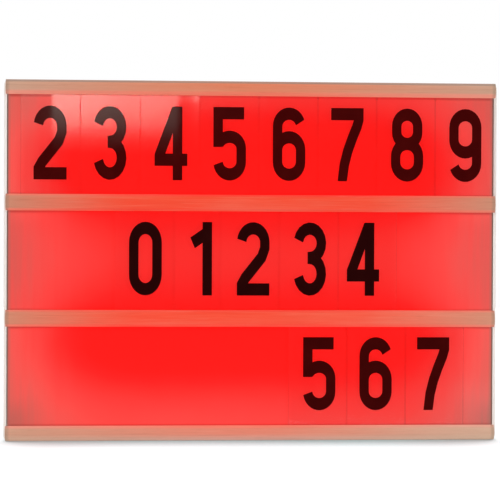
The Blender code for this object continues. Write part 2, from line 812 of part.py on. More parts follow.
def add_dish(cover):
    """Shallow dish in the back with the slot, the button's hole and the socket's hole, and behind
    it the two bosses that carry the control board."""
    pad = slab(
        "dish_pad", DISH_X, MIDDLE, DISH_WIDTH + 2 * DISH_RIM, DISH_HEIGHT + 2 * DISH_RIM,
        DISH_CORNER + DISH_RIM, DISH_INNER, COVER_INNER + WELD,
    )
    dish = slab(
        "dish", DISH_X, MIDDLE, DISH_WIDTH, DISH_HEIGHT, DISH_CORNER, DISH_BED, BACK + OVERRUN
    )
    join(cover, pad)
    for index, (x, z) in enumerate(board_screw_places()):
        boss = rod_between(
            f"board_boss_{index}", x, z, BOARD_BOSS_RADIUS, BOARD_BACK + SEAT, DISH_INNER + WELD,
            SCREW_SIDES,
        )
        pilot = rod_between(
            f"board_pilot_{index}", x, z, BOARD_HOLE_RADIUS,
            BOARD_BACK - OVERRUN, BOARD_BACK + SEAT + BOARD_PILOT_DEPTH, HOLE_SIDES,
        )
        join(cover, boss)
        cut(cover, pilot)
    slot_width = THUMB_WIDTH + SLIDER_TRAVEL + 2 * RUN
    slot = block(
        "slider_slot", (DISH_X + SLIDER_PLACE, DISH_BED, MIDDLE),
        (slot_width, 2 * (DISH_FLOOR + OVERRUN), THUMB_HEIGHT + 2 * RUN),
    )
    button_hole = rod(
        "button_hole", (DISH_X + BUTTON_PLACE, DISH_BED, MIDDLE), BUTTON_RADIUS + RUN,
        2 * (DISH_FLOOR + OVERRUN),
    )
    socket_hole = slab(
        "socket_hole", DISH_X + SOCKET_PLACE, MIDDLE,
        SOCKET_WIDTH + 2 * SOCKET_PLAY, SOCKET_HEIGHT + 2 * SOCKET_PLAY,
        SOCKET_HEIGHT / 2, DISH_INNER - OVERRUN, BACK,
    )
    cut(cover, dish, slot, button_hole, socket_hole)


# Battery cover


def make_lid():
    """Flat lid with two hooks at its lower edge and a sprung tongue at its upper edge. Its origin is
    on the line about which it swings open."""
    hinge = Vector((0.0, BACK, LID_LOW))
    lid = block_between(
        "battery_cover", (-LID_HALF_WIDTH, LID_INNER, LID_LOW), (LID_HALF_WIDTH, BACK, LID_HIGH)
    )
    tongue = block_between(
        "lid_tongue",
        (-TONGUE_WIDTH / 2, LID_INNER, LID_HIGH - TONGUE_SLIT_LENGTH),
        (TONGUE_WIDTH / 2, BACK - SEAT, LID_HIGH + TONGUE_REACH),
    )
    join(lid, tongue)
    for index, x in enumerate(spread(2, HOOK_SPACING)):
        hook_top = LID_INNER - SEAT
        arm = block_between(
            f"lid_hook_{index}",
            (x - HOOK_WIDTH / 2, hook_top - HOOK_THICKNESS, LID_LOW - HOOK_REACH),
            (x + HOOK_WIDTH / 2, hook_top, LID_LOW + HOOK_ROOT),
        )
        root = block_between(
            f"lid_hook_root_{index}",
            (x - HOOK_WIDTH / 2 + WELD, hook_top - HOOK_THICKNESS / 2, LID_LOW + SEAT),
            (x + HOOK_WIDTH / 2 - WELD, LID_INNER + WELD, LID_LOW + HOOK_ROOT - SEAT),
        )
        join(lid, root, arm)
    for side in (-1, 1):
        middle = side * (TONGUE_WIDTH + TONGUE_SLIT) / 2
        slit = block_between(
            f"tongue_slit_{side}",
            (middle - TONGUE_SLIT / 2, LID_INNER - OVERRUN, LID_HIGH - TONGUE_SLIT_LENGTH),
            (middle + TONGUE_SLIT / 2, BACK + OVERRUN, LID_HIGH + OVERRUN),
        )
        cut(lid, slit)
    for index, up in enumerate(spread(LID_RIB_COUNT, LID_RIB_PITCH)):
        grip = block(
            f"tongue_grip_{index}",
            (0.0, BACK, LID_HIGH - TONGUE_SLIT_LENGTH / 2 + up),
            (TONGUE_WIDTH - 2 * LID_RIB_WIDTH, 2 * LID_RIB_HEIGHT, LID_RIB_WIDTH),
        )
        cut(lid, grip)
    lid.data.transform(Matrix.Translation(lid.location - hinge))
    lid.location = hinge
    return keep(lid, LID_WHITE)


# Cells and contacts


def cell_places():
    """Place of each cell and whether its positive end is up; neighbours lie head to tail."""
    return [
        (x, index % 2 == 0) for index, x in enumerate(spread(CELL_COUNT, CELL_PITCH))
    ]


def make_cells():
    body_top = CELL_LENGTH / 2 - CELL_NUB_HEIGHT
    body_low = -CELL_LENGTH / 2
    profile = [
        (0.0, CELL_LENGTH / 2),
        (CELL_NUB_RADIUS, CELL_LENGTH / 2),
        (CELL_NUB_RADIUS, body_top),
        (CELL_RADIUS - CELL_EDGE, body_top),
        (CELL_RADIUS, body_top - CELL_EDGE),
        (CELL_RADIUS, body_low + CELL_EDGE),
        (CELL_RADIUS - CELL_EDGE, body_low),
        (0.0, body_low),
    ]
    for index, (x, positive_up) in enumerate(cell_places()):
        shift = SPRING_HEIGHT / 2 if positive_up else -SPRING_HEIGHT / 2
        turn = (0.0, 0.0, 0.0) if positive_up else (math.pi, 0.0, 0.0)
        cell = turned(f"cell_{index + 1}", profile, (x, CELL_AXIS, MIDDLE + shift), turn)
        keep(cell, CELL_GREY)


def terminal_places():
    """The first and the last cell end in a single contact with a soldering tail."""
    places = spread(CELL_COUNT, CELL_PITCH)
    return places[0], places[-1]


def tail_depth():
    return CELL_AXIS - PLATE_DEPTH / 2 + PLATE_THICKNESS / 2


def spring_points(x, plate_face, away):
    """Conical helix that stands on a contact plate; away is +1 where it points up."""
    points = [Vector((x + SPRING_BASE_RADIUS, CELL_AXIS, plate_face - away * PLATE_THICKNESS / 2))]
    total = SPRING_CURLS * SPRING_POINTS
    rise = SPRING_HEIGHT - SPRING_WIRE / 2 - SPRING_LIFT
    for step in range(total + 1):
        share = step / total
        angle = 2 * math.pi * SPRING_CURLS * share
        radius = SPRING_BASE_RADIUS + (SPRING_TIP_RADIUS - SPRING_BASE_RADIUS) * share
        height = SPRING_LIFT + rise * share
        points.append(
            Vector(
                (
                    x + radius * math.cos(angle),
                    CELL_AXIS + radius * math.sin(angle),
                    plate_face + away * height,
                )
            )
        )
    return points


def least_self_gap(points, wire):
    """Smallest clear distance between stretches of a coil that lie over half a curl apart."""
    apart = SPRING_POINTS // 2 + 1
    return min(
        (first - second).length - wire
        for index, first in enumerate(points)
        for second in points[index + apart :]
    )


def tube(name, points, radius, roundness):
    curve = bpy.data.curves.new(name, "CURVE")
    curve.dimensions = "3D"
    curve.bevel_depth = radius
    curve.bevel_resolution = roundness
    curve.use_fill_caps = True
    spline = curve.splines.new("POLY")
    spline.points.add(len(points) - 1)
    for point, where in zip(spline.points, points):
        point.co = (*where, 1.0)
    made = place(bpy.data.objects.new(name, curve), (0.0, 0.0, 0.0))
    bpy.context.view_layer.update()
    return made


def contact_table():
    """Name, cells served, and which end of the bay: upper bridges join cells 1-2, 3-4 and 5-6, lower
    ones 2-3 and 4-5, and the two terminals stand at the lower end of cells 1 and 6."""
    upper = [(f"upper_bridge_{n + 1}", (2 * n, 2 * n + 1), True) for n in range(CELL_COUNT // 2)]
    lower = [(f"lower_bridge_{n + 1}", (2 * n + 1, 2 * n + 2), False) for n in range(CELL_COUNT // 2 - 1)]
    ends = [("negative_terminal", (0,), False), ("positive_terminal", (CELL_COUNT - 1,), False)]
    return upper + lower + ends


def make_contacts():
    cells = cell_places()
    for name, served, at_top in contact_table():
        away = -1 if at_top else 1
        wall = MIDDLE + BAY_HALF_HEIGHT if at_top else MIDDLE - BAY_HALF_HEIGHT
        near = wall + away * SEAT
        face = near + away * PLATE_THICKNESS
        left = cells[served[0]][0] - PLATE_MARGIN - SPRING_BASE_RADIUS / 2
        right = cells[served[-1]][0] + PLATE_MARGIN + SPRING_BASE_RADIUS / 2
        plate = block_between(
            name,
            (left, CELL_AXIS - PLATE_DEPTH / 2, min(near, face)),
            (right, CELL_AXIS + PLATE_DEPTH / 2, max(near, face)),
        )
        for index in served:
            x, positive_up = cells[index]
            if positive_up != at_top:
                points = spring_points(x, face, away)
                coil = tube(f"{name}_spring", points, SPRING_WIRE / 2, 1)
                join(plate, meshed(coil))
                if name == "negative_terminal":
                    gap = least_self_gap(points[1:], SPRING_WIRE)
                    print(f"least gap between curls of a contact spring: {gap * 1000:.2f} mm")
        if len(served) == 1:
            x = cells[served[0]][0]
            tail = block_between(
                f"{name}_tail",
                (x - TAIL_WIDTH / 2, tail_depth() - PLATE_THICKNESS / 2, wall - TAIL_LENGTH),
                (x + TAIL_WIDTH / 2, tail_depth() + PLATE_THICKNESS / 2, face - PLATE_THICKNESS / 2),
            )
            join(plate, tail)
        keep(plate, CONTACT_STEEL)


# Controls


def make_slider():
    """Thumb slider: ribbed top, a flange that keeps it behind the dish, and the lever that enters
    the switch. It rests in its on position, and its travel runs to the left."""
    x = DISH_X + SLIDER_PLACE + SLIDER_TRAVEL / 2
    top = BACK - THUMB_TOP_GAP
    flange_low = FLANGE_TOP - FLANGE_THICKNESS
    thumb = block_between(
        "power_slider",
        (x - THUMB_WIDTH / 2, FLANGE_TOP - WELD, MIDDLE - THUMB_HEIGHT / 2),
        (x + THUMB_WIDTH / 2, top, MIDDLE + THUMB_HEIGHT / 2),
    )
    flange = block_between(
        "slider_flange",
        (x - SLIDER_FLANGE_WIDTH / 2, flange_low, MIDDLE - SLIDER_FLANGE_HEIGHT / 2),
        (x + SLIDER_FLANGE_WIDTH / 2, FLANGE_TOP, MIDDLE + SLIDER_FLANGE_HEIGHT / 2),
    )
    lever = block_between(
        "slider_lever",
        (x - LEVER_SIZE / 2, SWITCH_TOP - LEVER_REACH, MIDDLE - LEVER_SIZE / 2),
        (x + LEVER_SIZE / 2, flange_low + WELD, MIDDLE + LEVER_SIZE / 2),
    )
    join(thumb, flange, lever)
    for index, along in enumerate(spread(THUMB_GROOVE_COUNT, THUMB_GROOVE_PITCH)):
        groove = block(
            f"thumb_groove_{index}", (x + along, top, MIDDLE),
            (THUMB_GROOVE, 2 * THUMB_GROOVE, THUMB_HEIGHT + OVERRUN),
        )
        cut(thumb, groove)
    return keep(thumb, CONTROL_BLACK)


def make_slide_switch():
    x = DISH_X + SLIDER_PLACE
    body = block_between(
        "slide_switch",
        (x - SWITCH_WIDTH / 2, BOARD_BACK + SEAT, MIDDLE - SWITCH_HEIGHT / 2),
        (x + SWITCH_WIDTH / 2, SWITCH_TOP, MIDDLE + SWITCH_HEIGHT / 2),
    )
    slot = block(
        "switch_slot", (x, SWITCH_TOP, MIDDLE),
        (LEVER_SIZE + SLIDER_TRAVEL + 2 * RUN, 2 * SWITCH_SLOT_DEPTH, LEVER_SIZE + 2 * RUN),
    )
    return keep(cut(body, slot), CONTROL_BLACK)


def make_button():
    """Round cap with a dished top and a flange behind the hole."""
    nib_top = BOARD_BACK + SEAT + PUSH_DEPTH + PUSH_NIB_HEIGHT
    low = nib_top + SEAT + BUTTON_TRAVEL
    top = BACK - BUTTON_TOP_GAP
    profile = [
        (0.0, top - BUTTON_EDGE),
        (BUTTON_RADIUS - 2 * BUTTON_EDGE, top - BUTTON_EDGE / 4),
        (BUTTON_RADIUS - BUTTON_EDGE, top),
        (BUTTON_RADIUS, top - BUTTON_EDGE),
        (BUTTON_RADIUS, FLANGE_TOP),
        (BUTTON_FLANGE_RADIUS, FLANGE_TOP),
        (BUTTON_FLANGE_RADIUS, low),
        (0.0, low),
    ]
    local = [(radius, height - low) for radius, height in profile]
    cap = turned("mode_button", local, (DISH_X + BUTTON_PLACE, low, MIDDLE), TO_BACK, BUTTON_SIDES)
    return keep(cap, CONTROL_BLACK)


def make_push_switch():
    x = DISH_X + BUTTON_PLACE
    base = BOARD_BACK + SEAT
    body = block_between(
        "push_switch",
        (x - PUSH_SIZE / 2, base, MIDDLE - PUSH_SIZE / 2),
        (x + PUSH_SIZE / 2, base + PUSH_DEPTH, MIDDLE + PUSH_SIZE / 2),
    )
    nib = rod_between(
        "push_nib", x, MIDDLE, PUSH_NIB_RADIUS,
        base + PUSH_DEPTH - WELD, base + PUSH_DEPTH + PUSH_NIB_HEIGHT, SCREW_SIDES,
    )
    return keep(join(body, nib), CONTACT_STEEL)


def make_socket():
    """Upright socket: an oval shell, closed at the board, with the contact tongue in its middle."""
    x = DISH_X + SOCKET_PLACE
    mouth = DISH_BED + SOCKET_PROUD
    shell = slab(
        "power_socket", x, MIDDLE, SOCKET_WIDTH, SOCKET_HEIGHT, SOCKET_HEIGHT / 2,
        BOARD_BACK + SEAT, mouth,
    )
    bore = slab(
        "socket_bore", x, MIDDLE, SOCKET_WIDTH - 2 * SOCKET_SHELL, SOCKET_HEIGHT - 2 * SOCKET_SHELL,
        SOCKET_HEIGHT / 2 - SOCKET_SHELL, mouth - SOCKET_BORE_DEPTH, mouth + OVERRUN,
    )
    bottom = mouth - SOCKET_BORE_DEPTH
    tongue = block_between(
        "socket_tongue",
        (x - SOCKET_TONGUE_WIDTH / 2, bottom - WELD, MIDDLE - SOCKET_TONGUE_THICKNESS / 2),
        (x + SOCKET_TONGUE_WIDTH / 2, bottom + SOCKET_TONGUE_LENGTH, MIDDLE + SOCKET_TONGUE_THICKNESS / 2),
    )
    return keep(join(cut(shell, bore), tongue), CONTACT_STEEL)


def make_control_board():
    board = slab(
        "control_board", DISH_X, MIDDLE, BOARD_WIDTH, BOARD_HEIGHT, BOARD_CORNER,
        BOARD_FRONT, BOARD_BACK,
    )
    chip_x = DISH_X + CHIP_PLACE
    chip = block_between(
        "board_chip",
        (chip_x - CHIP_LENGTH / 2, BOARD_FRONT - CHIP_DEPTH, MIDDLE - CHIP_WIDTH / 2),
        (chip_x + CHIP_LENGTH / 2, BOARD_FRONT + WELD, MIDDLE + CHIP_WIDTH / 2),
    )
    coil = rod_between(
        "board_coil", DISH_X + COIL_PLACE, MIDDLE, COIL_RADIUS,
        BOARD_FRONT - COIL_DEPTH, BOARD_FRONT + WELD, SCREW_SIDES,
    )
    join(board, chip, coil)
    for index, (x, z) in enumerate(board_screw_places()):
        hole = rod_between(
            f"board_hole_{index}", x, z, BOARD_HOLE_RADIUS, BOARD_FRONT - OVERRUN,
            BOARD_BACK + OVERRUN, HOLE_SIDES,
        )
        cut(board, hole)
    return keep(board, BOARD_GREEN)


def make_led_strips():
    for row, z in led_heights():
        front = LED_BOARD_BACK - LED_BOARD_THICKNESS
        strip = block_between(
            f"{row}_led_strip",
            (-LED_BOARD_LENGTH / 2, front, z - LED_BOARD_HEIGHT / 2),
            (LED_BOARD_LENGTH / 2, LED_BOARD_BACK, z + LED_BOARD_HEIGHT / 2),
        )
        for index, x in enumerate(spread(LED_COUNT, LED_PITCH)):
            led = block_between(
                f"{row}_led_{index}",
                (x - LED_SIZE / 2, front - LED_DEPTH, z - LED_SIZE / 2),
                (x + LED_SIZE / 2, front + WELD, z + LED_SIZE / 2),
            )
            join(strip, led)
        keep(strip, STRIP_WHITE)


# Fasteners


def pan_head_screw(name, x, z, seat, into, head_radius, head_height, shank_radius, length):
    """Pan-head screw along Y. Its head stands on the depth called seat, away from the way it is
    driven: into is -1 for a screw driven towards the front."""
    profile = [
        (0.0, head_height),
        (head_radius / 2, head_height),
        (head_radius * math.cos(math.pi / 8), head_height * 2 / 3),
        (head_radius, head_height / 3),
        (head_radius, 0.0),
        (shank_radius, 0.0),
        (shank_radius, shank_radius - length),
        (0.0, -length),
    ]
    turn = TO_BACK if into < 0 else UPRIGHT
    screw = turned(name, profile, (x, seat, z), turn, SCREW_SIDES)
    top = seat - into * head_height
    for bar, size in (
        ("across", (2 * CROSS_REACH, 2 * CROSS_DEPTH, CROSS_WIDTH)),
        ("upright", (CROSS_WIDTH, 2 * CROSS_DEPTH, 2 * CROSS_REACH)),
    ):
        scale = min(1, head_radius / SCREW_HEAD_RADIUS)
        cutter = block(f"{name}_{bar}", (x, top, z), [side * scale for side in size])
        cut(screw, cutter)
    return keep(screw, SCREW_STEEL)


def make_screws():
    for index, (x, z) in enumerate(boss_places()):
        pan_head_screw(
            f"case_screw_{index + 1}", x, z, BACK - POCKET_DEPTH + SEAT, -1,
            SCREW_HEAD_RADIUS, SCREW_HEAD_HEIGHT, SCREW_SHANK_RADIUS, SCREW_LENGTH,
        )
    for index, (x, z) in enumerate(board_screw_places()):
        pan_head_screw(
            f"board_screw_{index + 1}", x, z, BOARD_FRONT - SEAT, 1,
            BOARD_SCREW_HEAD_RADIUS, BOARD_SCREW_HEAD_HEIGHT, BOARD_SCREW_SHANK_RADIUS,
            BOARD_SCREW_LENGTH,
        )


# Wires


def smooth_route(corners):
    """Points at equal steps along a smooth curve through the corners of a route. The first and the
    last stretch stay straight, so the wire meets its joints squarely."""
    corners = [Vector(corner) for corner in corners]
    fine = []
    for index in range(1, len(corners) - 2):
        before, start, end, after = corners[index - 1 : index + 3]
        for step in range(CURVE_STEPS):
            t = step / CURVE_STEPS
            fine.append(
                (
                    2 * start
                    + (end - before) * t
                    + (2 * before - 5 * start + 4 * end - after) * t * t
                    + (3 * start - before - 3 * end + after) * t * t * t
                )
                / 2
            )
    fine.append(corners[-2])
    points, walked = [corners[0], fine[0]], 0.0
    for first, second in zip(fine, fine[1:]):
        walked += (second - first).length
        if walked >= WIRE_STEP:
            points.append(second)
            walked = 0.0
    if walked < WIRE_STEP / 2:
        points.pop()
    return [*points, corners[-2], corners[-1]]


def make_wire(name, corners, material):
    keep(tube(name, smooth_route(corners), WIRE_RADIUS, 2), material)


def make_wires():
    """Battery leads run under the bay to the control board, and one lead goes from the board to the
    right end of each LED strip. Every end stops just short of the joint it is soldered to."""
    first, last = terminal_places()
    tip = MIDDLE - BAY_HALF_HEIGHT - TAIL_LENGTH - SEAT
    depth = tail_depth()
    solder = BOARD_FRONT - SEAT
    pad_x = DISH_X - BOARD_WIDTH / 2 + PAD_INSET
    corner = BAY_HALF_WIDTH + BAY_WALL + WIRE_BEND
    for name, x, outset, material in (
        ("negative_lead", first, WIRE_LANE, WIRE_BLACK),
        ("positive_lead", last, 0.0, WIRE_RED),
    ):
        run = tip - WIRE_BEND - outset
        pad_z = MIDDLE - outset
        make_wire(
            name,
            [
                (x, depth, tip),
                (x, depth, tip - WIRE_BEND / 2),
                (x + WIRE_BEND, depth, run),
                ((x + corner) / 2 + WIRE_BEND, depth, run),
                (corner + WIRE_BEND, depth, run),
                (corner + 3 * WIRE_BEND + outset, depth, run + 2 * WIRE_BEND),
                (pad_x - WIRE_BEND + outset, depth, pad_z - 3 * WIRE_BEND),
                (pad_x + outset, solder - WIRE_BEND / 2, pad_z),
                (pad_x + outset, solder, pad_z),
            ],
            material,
        )
    led_depth = LED_BOARD_BACK - LED_BOARD_THICKNESS / 2
    strip_end = LED_BOARD_LENGTH / 2 + SEAT
    for row, z in led_heights():
        side = 1 if z > MIDDLE else -1
        pad_z = MIDDLE + side * (BOARD_HEIGHT / 2 - PAD_INSET)
        pad = DISH_X + BOARD_WIDTH / 2 - 2 * PAD_INSET - (PAD_INSET / 2 if side < 0 else 0.0)
        make_wire(
            f"{row}_led_lead",
            [
                (strip_end, led_depth, z),
                (strip_end + WIRE_BEND / 2, led_depth, z),
                (strip_end + WIRE_BEND, led_depth, z - side * WIRE_BEND),
                (strip_end + WIRE_BEND, led_depth, z - side * 3 * WIRE_BEND),
                (pad, led_depth, pad_z + side * 2 * WIRE_BEND),
                (pad, solder - WIRE_BEND / 2, pad_z),
                (pad, solder, pad_z),
            ],
            WIRE_RED if side > 0 else WIRE_BLACK,
        )


make_case()
make_panel()
for rail_row in rail_table():
    make_rail(*rail_row)
make_tiles()
make_cover()
make_lid()
make_cells()
make_contacts()
make_slider()
make_slide_switch()
make_button()
make_push_switch()
make_socket()
make_control_board()
make_led_strips()
make_screws()
make_wires()
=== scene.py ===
import math

import bmesh
import bpy
from mathutils import Matrix, Vector, geometry


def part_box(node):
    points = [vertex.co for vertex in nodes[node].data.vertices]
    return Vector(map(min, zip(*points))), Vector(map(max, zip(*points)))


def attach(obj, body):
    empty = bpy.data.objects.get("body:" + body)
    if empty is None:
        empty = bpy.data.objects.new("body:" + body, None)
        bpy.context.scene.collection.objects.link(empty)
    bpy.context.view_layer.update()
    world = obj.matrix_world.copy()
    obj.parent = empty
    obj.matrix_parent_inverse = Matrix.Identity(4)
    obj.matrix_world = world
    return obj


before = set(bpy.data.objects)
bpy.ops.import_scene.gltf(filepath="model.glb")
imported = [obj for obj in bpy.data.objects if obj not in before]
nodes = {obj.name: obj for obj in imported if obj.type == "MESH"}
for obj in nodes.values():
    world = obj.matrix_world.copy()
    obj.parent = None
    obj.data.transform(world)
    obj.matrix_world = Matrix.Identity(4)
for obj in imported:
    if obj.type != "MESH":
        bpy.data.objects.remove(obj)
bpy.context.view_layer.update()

# Camera of the photograph: place and clip in metres, angles in degrees, lens and sensor in millimetres
CAMERA_AT = (-.0369, -.8003, .1228)
CAMERA_YAW = -2.62
CAMERA_PITCH = -.437
CAMERA_ROLL = .224
CAMERA_LENS = 91.4
CAMERA_SENSOR = 36.0
CAMERA_CLIP = (.01, 50.0)

# Places and sizes of the part that the looks depend on, in metres
TILE_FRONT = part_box("tile_top_1")[0].y
PANEL_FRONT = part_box("diffuser_panel")[0].y
PANEL_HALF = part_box("diffuser_panel")[1].x
RAIL_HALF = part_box("top_rail")[1].x
CASE_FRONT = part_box("case")[0].y
MIDDLE_ROW_AT = .108
LIGHT_PITCH = .0176
LIGHT_HALF = .0025


def rgb(red, green, blue):
    """A colour as it shows on a screen, 0 to 255, turned into light."""
    channels = []
    for value in (red, green, blue):
        share = value / 255
        channels.append(share / 12.92 if share <= .04045 else ((share + .055) / 1.055) ** 2.4)
    return (*channels, 1.0)


def grey(share):
    """A share of light that is the same in all colours."""
    return (share, share, share, 1.0)


def heights(piece):
    """The lower and the upper end of a carried-over piece."""
    start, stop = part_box(piece)
    return start.z, stop.z


class Nodes:
    """A node tree, filled one node at a time."""

    def __init__(self, tree):
        self.tree = tree
        self.tree.nodes.clear()

    def add(self, kind, inputs=None, **settings):
        """A new node, with links or values for its inputs."""
        node = self.tree.nodes.new(kind)
        for key, value in settings.items():
            setattr(node, key, value)
        for key, value in (inputs or {}).items():
            self.feed(node.inputs[key], value)
        return node

    def feed(self, socket, value):
        """Links a socket to another node's output, or else sets its value."""
        if isinstance(value, bpy.types.NodeSocket):
            self.tree.links.new(value, socket)
        else:
            socket.default_value = value

    def math(self, operation, *values, clamp=False):
        node = self.add("ShaderNodeMath", dict(enumerate(values)), operation=operation, use_clamp=clamp)
        return node.outputs[0]

    def distance(self, value, middle):
        """How far a value is from a middle."""
        return self.math("ABSOLUTE", self.math("SUBTRACT", value, middle))

    def axes(self, vector=None):
        return self.add("ShaderNodeSeparateXYZ", {0: vector or self.place}).outputs

    def stretch(self, scale):
        return self.add("ShaderNodeMapping", {"Vector": self.place, "Scale": scale}).outputs[0]

    def noise(self, scale, detail=2.0, roughness=.5, vector=None, distortion=0.0):
        inputs = {"Vector": vector or self.place, "Scale": scale, "Detail": detail}
        inputs.update({"Roughness": roughness, "Distortion": distortion})
        return self.add("ShaderNodeTexNoise", inputs).outputs["Fac"]

    def spread(self, value, low, high, to_low=0.0, to_high=1.0, smooth=True):
        """A value between low and high, spread over another range and held at its ends."""
        kind = "SMOOTHSTEP" if smooth else "LINEAR"
        inputs = {"Value": value, "From Min": low, "From Max": high, "To Min": to_low, "To Max": to_high}
        return self.add("ShaderNodeMapRange", inputs, interpolation_type=kind, clamp=True).outputs[0]

    def ramp(self, factor, stops):
        node = self.add("ShaderNodeValToRGB", {"Fac": factor})
        marks = node.color_ramp.elements
        while len(marks) < len(stops):
            marks.new(1.0)
        for mark, (position, colour) in zip(marks, stops):
            mark.position = position
            mark.color = colour
        return node.outputs["Color"]

    def mix(self, factor, first, second, blend="MIX"):
        node = self.add("ShaderNodeMix", data_type="RGBA", blend_type=blend)
        self.feed(node.inputs[0], factor)
        self.feed(node.inputs[6], first)
        self.feed(node.inputs[7], second)
        return node.outputs[2]

    def tinted(self, colour, tint):
        """A colour multiplied by a tint."""
        return self.mix(1.0, colour, tint, "MULTIPLY")

    def bump(self, height, strength, distance, normal=None):
        inputs = {"Height": height, "Strength": strength, "Distance": distance}
        if normal is not None:
            inputs["Normal"] = normal
        return self.add("ShaderNodeBump", inputs).outputs[0]

    def sight(self):
        """Whether the camera sees a point, directly or through clear plastic, and whether a mirror does."""
        rays = self.add("ShaderNodeLightPath").outputs
        direct = self.math("MAXIMUM", rays["Is Camera Ray"], rays["Is Transmission Ray"])
        return direct, rays["Is Glossy Ray"]


class Look(Nodes):
    """A material and the nodes in it."""

    def __init__(self, name):
        self.material = bpy.data.materials.new(name)
        self.material.use_nodes = True
        super().__init__(self.material.node_tree)
        self.output = self.tree.nodes.new("ShaderNodeOutputMaterial")
        self.place = self.add("ShaderNodeTexCoord").outputs["Object"]

    def facing(self):
        """How far the surface itself faces the back, -1 for a front and 1 for a back."""
        return self.axes(self.add("ShaderNodeNewGeometry").outputs["True Normal"])[1]

    def leaning(self, x, z):
        """The normal of the surface, leant a little along X and Z."""
        lean = self.add("ShaderNodeCombineXYZ", {0: x, 1: 0.0, 2: z}).outputs[0]
        facing = self.add("ShaderNodeNewGeometry").outputs["Normal"]
        both = self.add("ShaderNodeVectorMath", {0: facing, 1: lean}, operation="ADD").outputs[0]
        return self.add("ShaderNodeVectorMath", {0: both}, operation="NORMALIZE").outputs[0]

    def show(self, shader):
        """The material, with a shader as its surface."""
        self.tree.links.new(shader, self.output.inputs["Surface"])
        return self.material

    def surface(self, inputs):
        """The material, with a plain surface of these inputs."""
        return self.show(self.add("ShaderNodeBsdfPrincipled", inputs).outputs[0])


SPARK_SCALE = 2600.0
SPARK_DEPTH = .00002
# Painted glow: the case's front rim glows a little over this depth behind its front
RIM_DEPTH = (.0004, .0030)


def moulded_plastic(name, colour, shade, roughness, rim=0.0):
    """Satin moulded plastic: fine spark texture, faint flow clouding and duller rubbed patches, and for
    the case a painted glow on its front rim, standing in for the light inside."""
    look = Look(name)
    clouds = look.noise(18.0, 3.0, .6)
    fine = look.noise(SPARK_SCALE, 2.0, .6)
    rubbed = look.noise(70.0, 4.0, .65)
    tint = look.mix(look.spread(clouds, .35, .70), colour, shade)
    tint = look.mix(look.spread(rubbed, .60, .78, 0.0, .35), tint, shade)
    gloss = look.spread(rubbed, .30, .75, roughness - .06, roughness + .08)
    normal = look.bump(fine, .35, SPARK_DEPTH)
    inputs = {"Base Color": tint, "Roughness": gloss, "Normal": normal, "IOR": 1.5}
    # Painted glow on the case's front rim
    if rim:
        lit = look.spread(look.facing(), -.9, -.5, rim, 0.0)
        behind = (CASE_FRONT + depth for depth in RIM_DEPTH)
        near = look.spread(look.axes()[1], *behind, 1.0, 0.0)
        inputs["Emission Strength"] = look.math("MULTIPLY", lit, near)
        inputs["Emission Color"] = rgb(255, 238, 232)
    return look.surface(inputs)


# Red light behind the panel: how far along and how high it reaches, in metres, how it falls off there, and
# the height and the strength of its two bands
GLOW_REACH = .121
GLOW_FALL = 63.0
GLOW_SPREAD = .0335
GLOW_POWER = 2.24
GLOW_BANDS = ((.168, 1.0), (.061, .80))


def glow_along(look, x):
    """How far along the front the strips of lights still reach, 1 in the middle and 0 past their ends."""
    beyond = look.math("SUBTRACT", look.math("ABSOLUTE", x), GLOW_REACH)
    fall = look.math("EXPONENT", look.math("MULTIPLY", beyond, GLOW_FALL))
    return look.math("DIVIDE", 1.0, look.math("ADD", 1.0, fall))


def glow_amount(look):
    """How strongly the two strips of lights behind the panel reach each point of the front."""
    x, _, z = look.axes()
    total = 0.0
    for height, power in GLOW_BANDS:
        away = look.math("DIVIDE", look.distance(z, height), GLOW_SPREAD)
        spent = look.math("ADD", 1.0, look.math("POWER", away, GLOW_POWER))
        total = look.math("ADD", total, look.math("DIVIDE", power, spent))
    return look.math("MULTIPLY", glow_along(look, x), total)


# What the panel makes of the glow, from none to full: its colour, its light, and how much is its own colour
PANEL_COLOURS = (
    (.00, rgb(200, 101, 90)), (.05, rgb(225, 95, 85)), (.15, rgb(246, 84, 77)), (.25, rgb(255, 69, 64)),
    (.35, rgb(255, 56, 53)), (.45, rgb(255, 42, 38)), (.55, rgb(255, 24, 22)), (.66, rgb(255, 10, 5)),
    (1.0, rgb(255, 5, 0)),
)
PANEL_LIGHT = .72
PANEL_BOOST = .14
PANEL_SOLID = .34
# Only its front face is lit: depths behind that face, and what its sides and back keep of the light
PANEL_FACE = (.0002, .0010)
PANEL_BEHIND = .03
# Shade from the rails: distances below and above each one, the upper shade's share, and its colour
SHADE_BELOW = (.0020, .0004)
SHADE_ABOVE = (.0004, .0012)
SHADE_ABOVE_SHARE = .6
SHADE_COLOUR = rgb(128, 20, 8)
# Upright streaks near the two ends: where they come in along X
STREAKS_ALONG = (.090, .145)
# Painted light, weaker at the middle row's ends: along X, up and down from the row's middle, and their tint
ROW_END_ALONG = (.098, .138)
ROW_END_UP = (.022, .034)
ROW_END_TINT = (.96, .84, .86, 1.0)
# Painted light, less red in the lower corners: along X, up from the floor, and their tint
CORNER_ALONG = (.124, .149)
CORNER_UP = (.012, .030)
CORNER_TINT = (.74, 1.0, 1.0, 1.0)
# Painted light: the right end is a little paler, most so at its foot: along X, up from the floor, and how
# much
PALER_ALONG = (.095, .148)
PALER_UP = (.022, .044)
PALER_SHARE = .034
# Painted shade at each end, a band and a dark line for the gap's shadow: distances from the end, and
# colours
END_BAND = (.0024, .0010)
END_BAND_SHARE = .40
END_BAND_COLOUR = rgb(150, 108, 96)
END_GAP_SHADOW = (.0008, .0004)
END_GAP_SHADOW_COLOUR = rgb(150, 103, 92)


